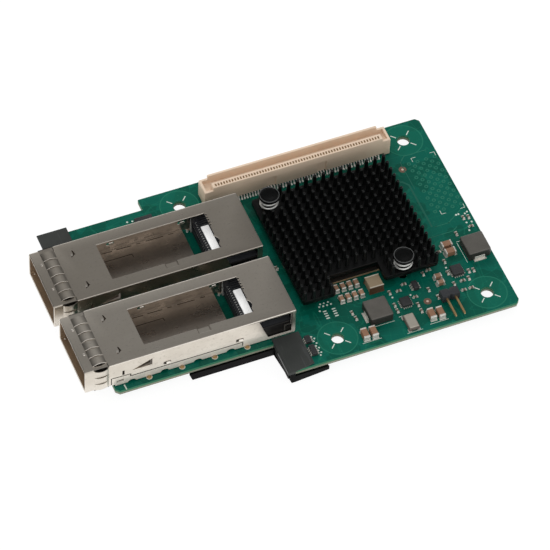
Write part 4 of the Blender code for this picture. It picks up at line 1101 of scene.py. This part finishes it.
# Tiny resistors and capacitors scattered between the larger parts
scatter = Sketch()
for x, y, upright in (
    (107.4, 31.4, True), (108.8, 31.2, True), (108.2, 28.0, False), (103.4, 27.0, True),
    (101.4, 14.2, True), (102.7, 14.1, True), (96.0, 11.6, True), (98.6, 11.8, False), (100.4, 12.0, True),
    (84.3, 8.6, True), (84.3, 6.4, True), (78.8, 14.9, True), (81.3, 14.6, False), (89.6, 17.6, True),
    (91.4, 18.3, False),
    (53.9, 33.1, True), (95.9, 15.6, True), (78.4, 10.6, True), (78.4, 8.6, True), (84.6, 11.2, False),
    (83.4, 16.2, False), (88.9, 12.2, True), (90.3, 9.0, True), (97.6, 8.8, False), (99.8, 8.8, False),
    (66.9, 12.2, True), (67.2, 10.2, True), (96.6, 19.4, True), (96.4, 22.9, False), (50.4, 7.8, True),
):
    draw_chip(scatter, x, y, *((0.62, 1.15) if upright else (1.15, 0.62)), 0.5, 0.27, upright)
install(solid("small_chips", scatter, ceramic_grey, solder), "ceramic")


# Power inductors
#
# Square blocks pressed from iron powder round a coil, grey-brown and slightly rough, on two bent
# terminals that show as silver at the block's foot.

ferrite = Paint("pressed_ferrite")
powder = ferrite.noise(5.0, 5.0)
patches = ferrite.noise(0.4, 3.0)
ferrite_color = ferrite.mix(rgb(68, 66, 61), rgb(104, 100, 94), powder * 0.5 + patches * 0.5)
# Painted shade: the sides are darker than the top.
ferrite_color = ferrite.mix(rgb(44, 41, 38), ferrite_color, ferrite.rise(ferrite.z, 2.6, 2.9))
ferrite_finish = ferrite.coat(ferrite_color, 0.45 + (powder - 0.5) * 0.3, 0.15, powder, 0.03)
INDUCTOR = (6.4, 6.6)
for name, x, y, upright in (("core_inductor", 73.0, 9.5, False), ("supply_inductor", 105.9, 20.4, True)):
    block = Sketch()
    block.pillow(about(x, INDUCTOR[0]), about(y, INDUCTOR[1]), (0.28, 3.0), 0.42)
    install(solid(name + "_block", block, ferrite_finish), "ferrite", name)
    terminals = Sketch()
    for sign in (-1, 1):
        if upright:
            terminals.pillow(about(x, 3.0), outward(y, sign, 2.6, 3.36), (0.0, 1.3), 0.1)
            terminals.box(about(x, 3.5), outward(y, sign, 2.6, 3.95), (-0.02, 0.06))
        else:
            terminals.pillow(outward(x, sign, 2.5, 3.26), about(y, 3.0), (0.0, 1.3), 0.1)
            terminals.box(outward(x, sign, 2.5, 3.85), about(y, 3.5), (-0.02, 0.06))
    install(solid(name + "_terminals", terminals, solder), "tinned_lead")


# Moulded chips
#
# Small black epoxy packages: leadless squares with a row of tinned pads at each edge, and narrow
# ones on gull-wing feet. All are soldered flat to the board.

epoxy = Paint("black_epoxy")
filler = epoxy.noise(8.0, 3.0)
flow = epoxy.noise(0.8, 2.0)
epoxy_color = epoxy.mix(rgb(34, 35, 36), rgb(54, 55, 56), filler * 0.5 + flow * 0.5)
epoxy_finish = epoxy.coat(epoxy_color, 0.5 + (filler - 0.5) * 0.2, 0.0, filler, 0.012)
for name, x, y, width, depth, top, feet_count in (
    ("power_stage", 98.3, 15.2, 3.1, 3.1, 1.2, 5), ("power_controller", 81.4, 10.3, 2.8, 2.8, 1.1, 5),
    ("supervisor_chip", 85.9, 14.4, 1.5, 2.6, 1.2, 3), ("level_shifter_1", 52.5, 7.9, 1.5, 2.2, 1.1, 3),
    ("level_shifter_2", 52.5, 4.2, 1.5, 3.2, 1.1, 4), ("memory_chip", 26.8, 59.39, 4.9, 4.0, 1.3, 4),
):
    block = Sketch()
    block.pillow(about(x, width), about(y, depth), (0.12, top), 0.13)
    block.coat = 1
    leadless = width == depth
    pitch = max(width, depth) / (feet_count + 0.4)
    side_x, side_y = width / 2, depth / 2
    for step in range(feet_count):
        shift = pitch * (step - (feet_count - 1) / 2)
        for sign in (-1, 1):
            if width <= depth:
                foot_x = outward(x, sign, side_x - 0.15, side_x + (0.4 if leadless else 0.6))
                block.box(foot_x, about(y + shift, pitch * 0.5), (-0.02, 0.14))
            if width < depth:
                shoulder = outward(x, sign, side_x - 0.1, side_x + 0.25)
                block.box(shoulder, about(y + shift, pitch * 0.45), (0.1, 0.6))
            if width >= depth:
                foot_y = outward(y, sign, side_y - 0.15, side_y + 0.4)
                block.box(about(x + shift, pitch * 0.5), foot_y, (-0.02, 0.14))
    install(solid(name + "_package", block, epoxy_finish, solder), "moulded_chip", name)


# Clock oscillator
#
# A quartz crystal and its driver in a ceramic box, closed by a seam-welded metal lid. The box is
# soldered to the board at its four corners.

can_finish = plain_finish("oscillator_lid", rgb(168, 162, 150), 0.42, 0.35, 0.14, 4.0, 0.01)
box_finish = plain_finish("oscillator_ceramic", rgb(96, 88, 80), 0.55, 0.0, 0.2, 5.0)
x, y = 80.1, 3.6
crystal = Sketch()
crystal.pillow(about(x, 3.0), about(y, 4.9), (0.1, 1.05), 0.2)
crystal.coat = 1
crystal.pillow(about(x, 2.6), about(y, 4.5), (0.95, 1.4), 0.18)
crystal.coat = 2
for sign_x in (-1, 1):
    for sign_y in (-1, 1):
        crystal.box(about(x + 1.25 * sign_x, 0.9), about(y + 2.15 * sign_y, 1.0), (-0.02, 0.1))
install(solid("oscillator", crystal, box_finish, can_finish, solder), "metal_can", "clock_oscillator")


# Right-angle pin header
#
# Two gilt square pins are pushed through a black nylon block, bent down behind it and soldered in
# plated holes. Their free ends point past the board's front edge for a jumper.

block = Sketch()
block.block((
    (90.4, 6.6), (92.4, 6.6), (92.9, 7.1), (93.4, 6.6), (95.4, 6.6), (95.4, 9.1), (93.4, 9.1),
    (92.9, 8.6), (92.4, 9.1), (90.4, 9.1),
), 0.3, 2.8)
header = solid("header_block", block, socket_black)
soften(header, 0.12)
install(header, "moulded_chip", "pin_header_block")
HEADER_PINS = (("left", 91.65), ("right", 94.15))
LEG_Y = 9.72
SQUARE = ((-1, -1), (1, -1), (1, 1), (-1, 1))
for side, x in HEADER_PINS:
    pin = Sketch()
    pin.skin([
        [(x + a * size, y + b * size * lean, z + b * size * rise) for a, b in SQUARE]
        for y, z, lean, rise, size in (
            (0.5, 1.55, 0.0, 1.0, 0.16), (0.85, 1.55, 0.0, 1.0, 0.26), (9.2, 1.55, 0.0, 1.0, 0.26),
            (9.6, 1.42, 0.7, 0.7, 0.26), (LEG_Y, 1.1, 1.0, 0.0, 0.26), (LEG_Y, -2.2, 1.0, 0.0, 0.26),
            (LEG_Y, -2.5, 1.0, 0.0, 0.16),
        )
    ])
    install(solid(f"{side}_pin_bar", pin, gilt), "gold_plate", f"{side}_header_pin")
joints = Sketch()
for _, x in HEADER_PINS:
    joints.post(x, LEG_Y, ((0.85, -0.02), (0.8, 0.04), (0.5, 0.2), (0.4, 0.45)), 18)
for _, cage_y in CAGES:
    for joint_y in (cage_y - 0.2, cage_y + CAGE_WIDTH + 0.2):
        for tail_x in TAIL_X:
            joints.coat = 0
            joints.ring(tail_x, joint_y, 0.85, 0.66, (-0.02, 0.05), 20)
            joints.coat = 1
            joints.post(tail_x, joint_y, ((0.66, -0.02), (0.66, 0.03), (0.3, 0.08)), 16)
install(solid("solder_joints", joints, solder, gilt), "tinned_lead")


# Camera, light and floor
#
# The card lies on a white studio table. The camera looks down at it from the near left, with a long
# lens; a broad light hangs behind it to the left, and white walls fill in the shadows.

PICTURE = 550
FOCAL_LENGTH_PIXELS = 3937
CENTRE_SHIFT_PIXELS = (-3.797, -10.0505)
CAMERA_PLACE = (-215.07, -555.91, 817.88)
CAMERA_TURN = (24.5995, 51.5765, 3.0244)

azimuth, elevation, roll = (math.radians(angle) for angle in CAMERA_TURN)
forward = Vector((
    math.sin(azimuth) * math.cos(elevation), math.cos(azimuth) * math.cos(elevation), -math.sin(elevation)
))
level = Vector((math.cos(azimuth), -math.sin(azimuth), 0.0))
upward = level.cross(forward)
right = level * math.cos(roll) + upward * math.sin(roll)
top = upward * math.cos(roll) - level * math.sin(roll)
lens = bpy.data.cameras.new("camera")
lens.sensor_width = 36.0
lens.lens = FOCAL_LENGTH_PIXELS / PICTURE * lens.sensor_width
lens.shift_x, lens.shift_y = (shift / PICTURE for shift in CENTRE_SHIFT_PIXELS)
lens.clip_start, lens.clip_end = 0.05, 20.0
camera = stand("camera", lens)
camera.location = ORIGIN + Vector(CAMERA_PLACE) * MM
camera.rotation_mode = "QUATERNION"
camera.rotation_quaternion = Matrix((right, top, -forward)).transposed().to_quaternion()
bpy.context.scene.camera = camera

table = Paint("studio_table")
paper = table.noise(0.02, 3.0)
paper_white = table.mix((0.93, 0.93, 0.93, 1.0), (0.96, 0.96, 0.96, 1.0), paper)
table.coat(paper_white, 0.9, 0.0, paper, 0.01, Specular_IOR_Level=0.0)
mirrored = table.node("ShaderNodeLightPath", output="Is Glossy Ray")
bright = table.node("ShaderNodeEmission", {}, {"Strength": 1.08 + mirrored * 0.25}, "Emission")
share = table.node("ShaderNodeLightPath", output="Is Camera Ray") * 0.84 + mirrored
lit = Wire(table, table.surface.outputs[0])
sheet = table.node("ShaderNodeMixShader", {}, {0: share, 1: lit, 2: bright})
table.plug(table.tree.nodes["Material Output"].inputs["Surface"], sheet)
TABLE_HALF = 3.0
TABLE_Z = -0.00002
table_top = bpy.data.meshes.new("table")
table_top.from_pydata([(TABLE_HALF * a, TABLE_HALF * b, TABLE_Z) for a, b in SQUARE], [], [(0, 1, 2, 3)])
table_top.materials.append(table.material)
stand("table", table_top)


def lamp(name, place, size, energy):
    """Broad lamp that faces the card and isn't mirrored in it."""
    light = bpy.data.lights.new(name, "AREA")
    light.shape = "RECTANGLE"
    light.size, light.size_y = size
    light.energy = energy
    holder = stand(name, light)
    holder.location = place
    holder.rotation_mode = "QUATERNION"
    holder.rotation_quaternion = (-Vector(place)).to_track_quat("-Z", "Y")
    holder.visible_glossy = False


lamp("key", (-0.15, 0.85, 0.75), (0.9, 0.3), 4.0)
lamp("fill", (-0.2, -0.6, 1.0), (0.6, 0.6), 1.5)


class Studio(Paint):
    """The world around the table, shaded by the same methods."""

    def __init__(self, name):
        self.material = bpy.data.worlds.new(name)
        self.material.use_nodes = True
        self.tree = self.material.node_tree

    def tone(self, value, start, end, dark, light):
        """Straight change from dark to light as the value goes from start to end."""
        levels = {"Value": value, "From Min": start, "From Max": end, "To Min": dark, "To Max": light}
        return self.node("ShaderNodeMapRange", {}, levels)

    def blend(self, share, first, second):
        return self.node("ShaderNodeMix", {}, {0: share, 2: first, 3: second})


studio = Studio("studio")
bpy.context.scene.world = studio.material
way = studio.node("ShaderNodeTexCoord", output="Generated")
way_x, way_y = [studio.node("ShaderNodeSeparateXYZ", {}, {0: way}, axis) for axis in "XY"]
left_wall = studio.tone(way_x, -0.3, 0.12, 0.03, 0.3)
right_wall = studio.tone(way_x, 0.4, 0.7, 0.3, 0.12)
dim = left_wall.sum("MINIMUM", left_wall, right_wall)
far_wall = studio.blend(studio.tone(way_y, 0.7, 0.86, 0.0, 1.0), dim, 0.9)
walls = studio.blend(studio.tone(way_y, -0.3, 0.2, 1.0, 0.0), far_wall, 1.1)
as_mirrored = studio.blend(studio.node("ShaderNodeLightPath", output="Is Glossy Ray"), 0.72, walls)
as_seen = studio.blend(studio.node("ShaderNodeLightPath", output="Is Camera Ray"), as_mirrored, 1.0)
background = studio.tree.nodes["Background"].inputs
studio.plug(background["Color"], (1.0, 1.0, 1.0, 1.0))
studio.plug(background["Strength"], as_seen)

bpy.context.scene.view_settings.view_transform = "Standard"
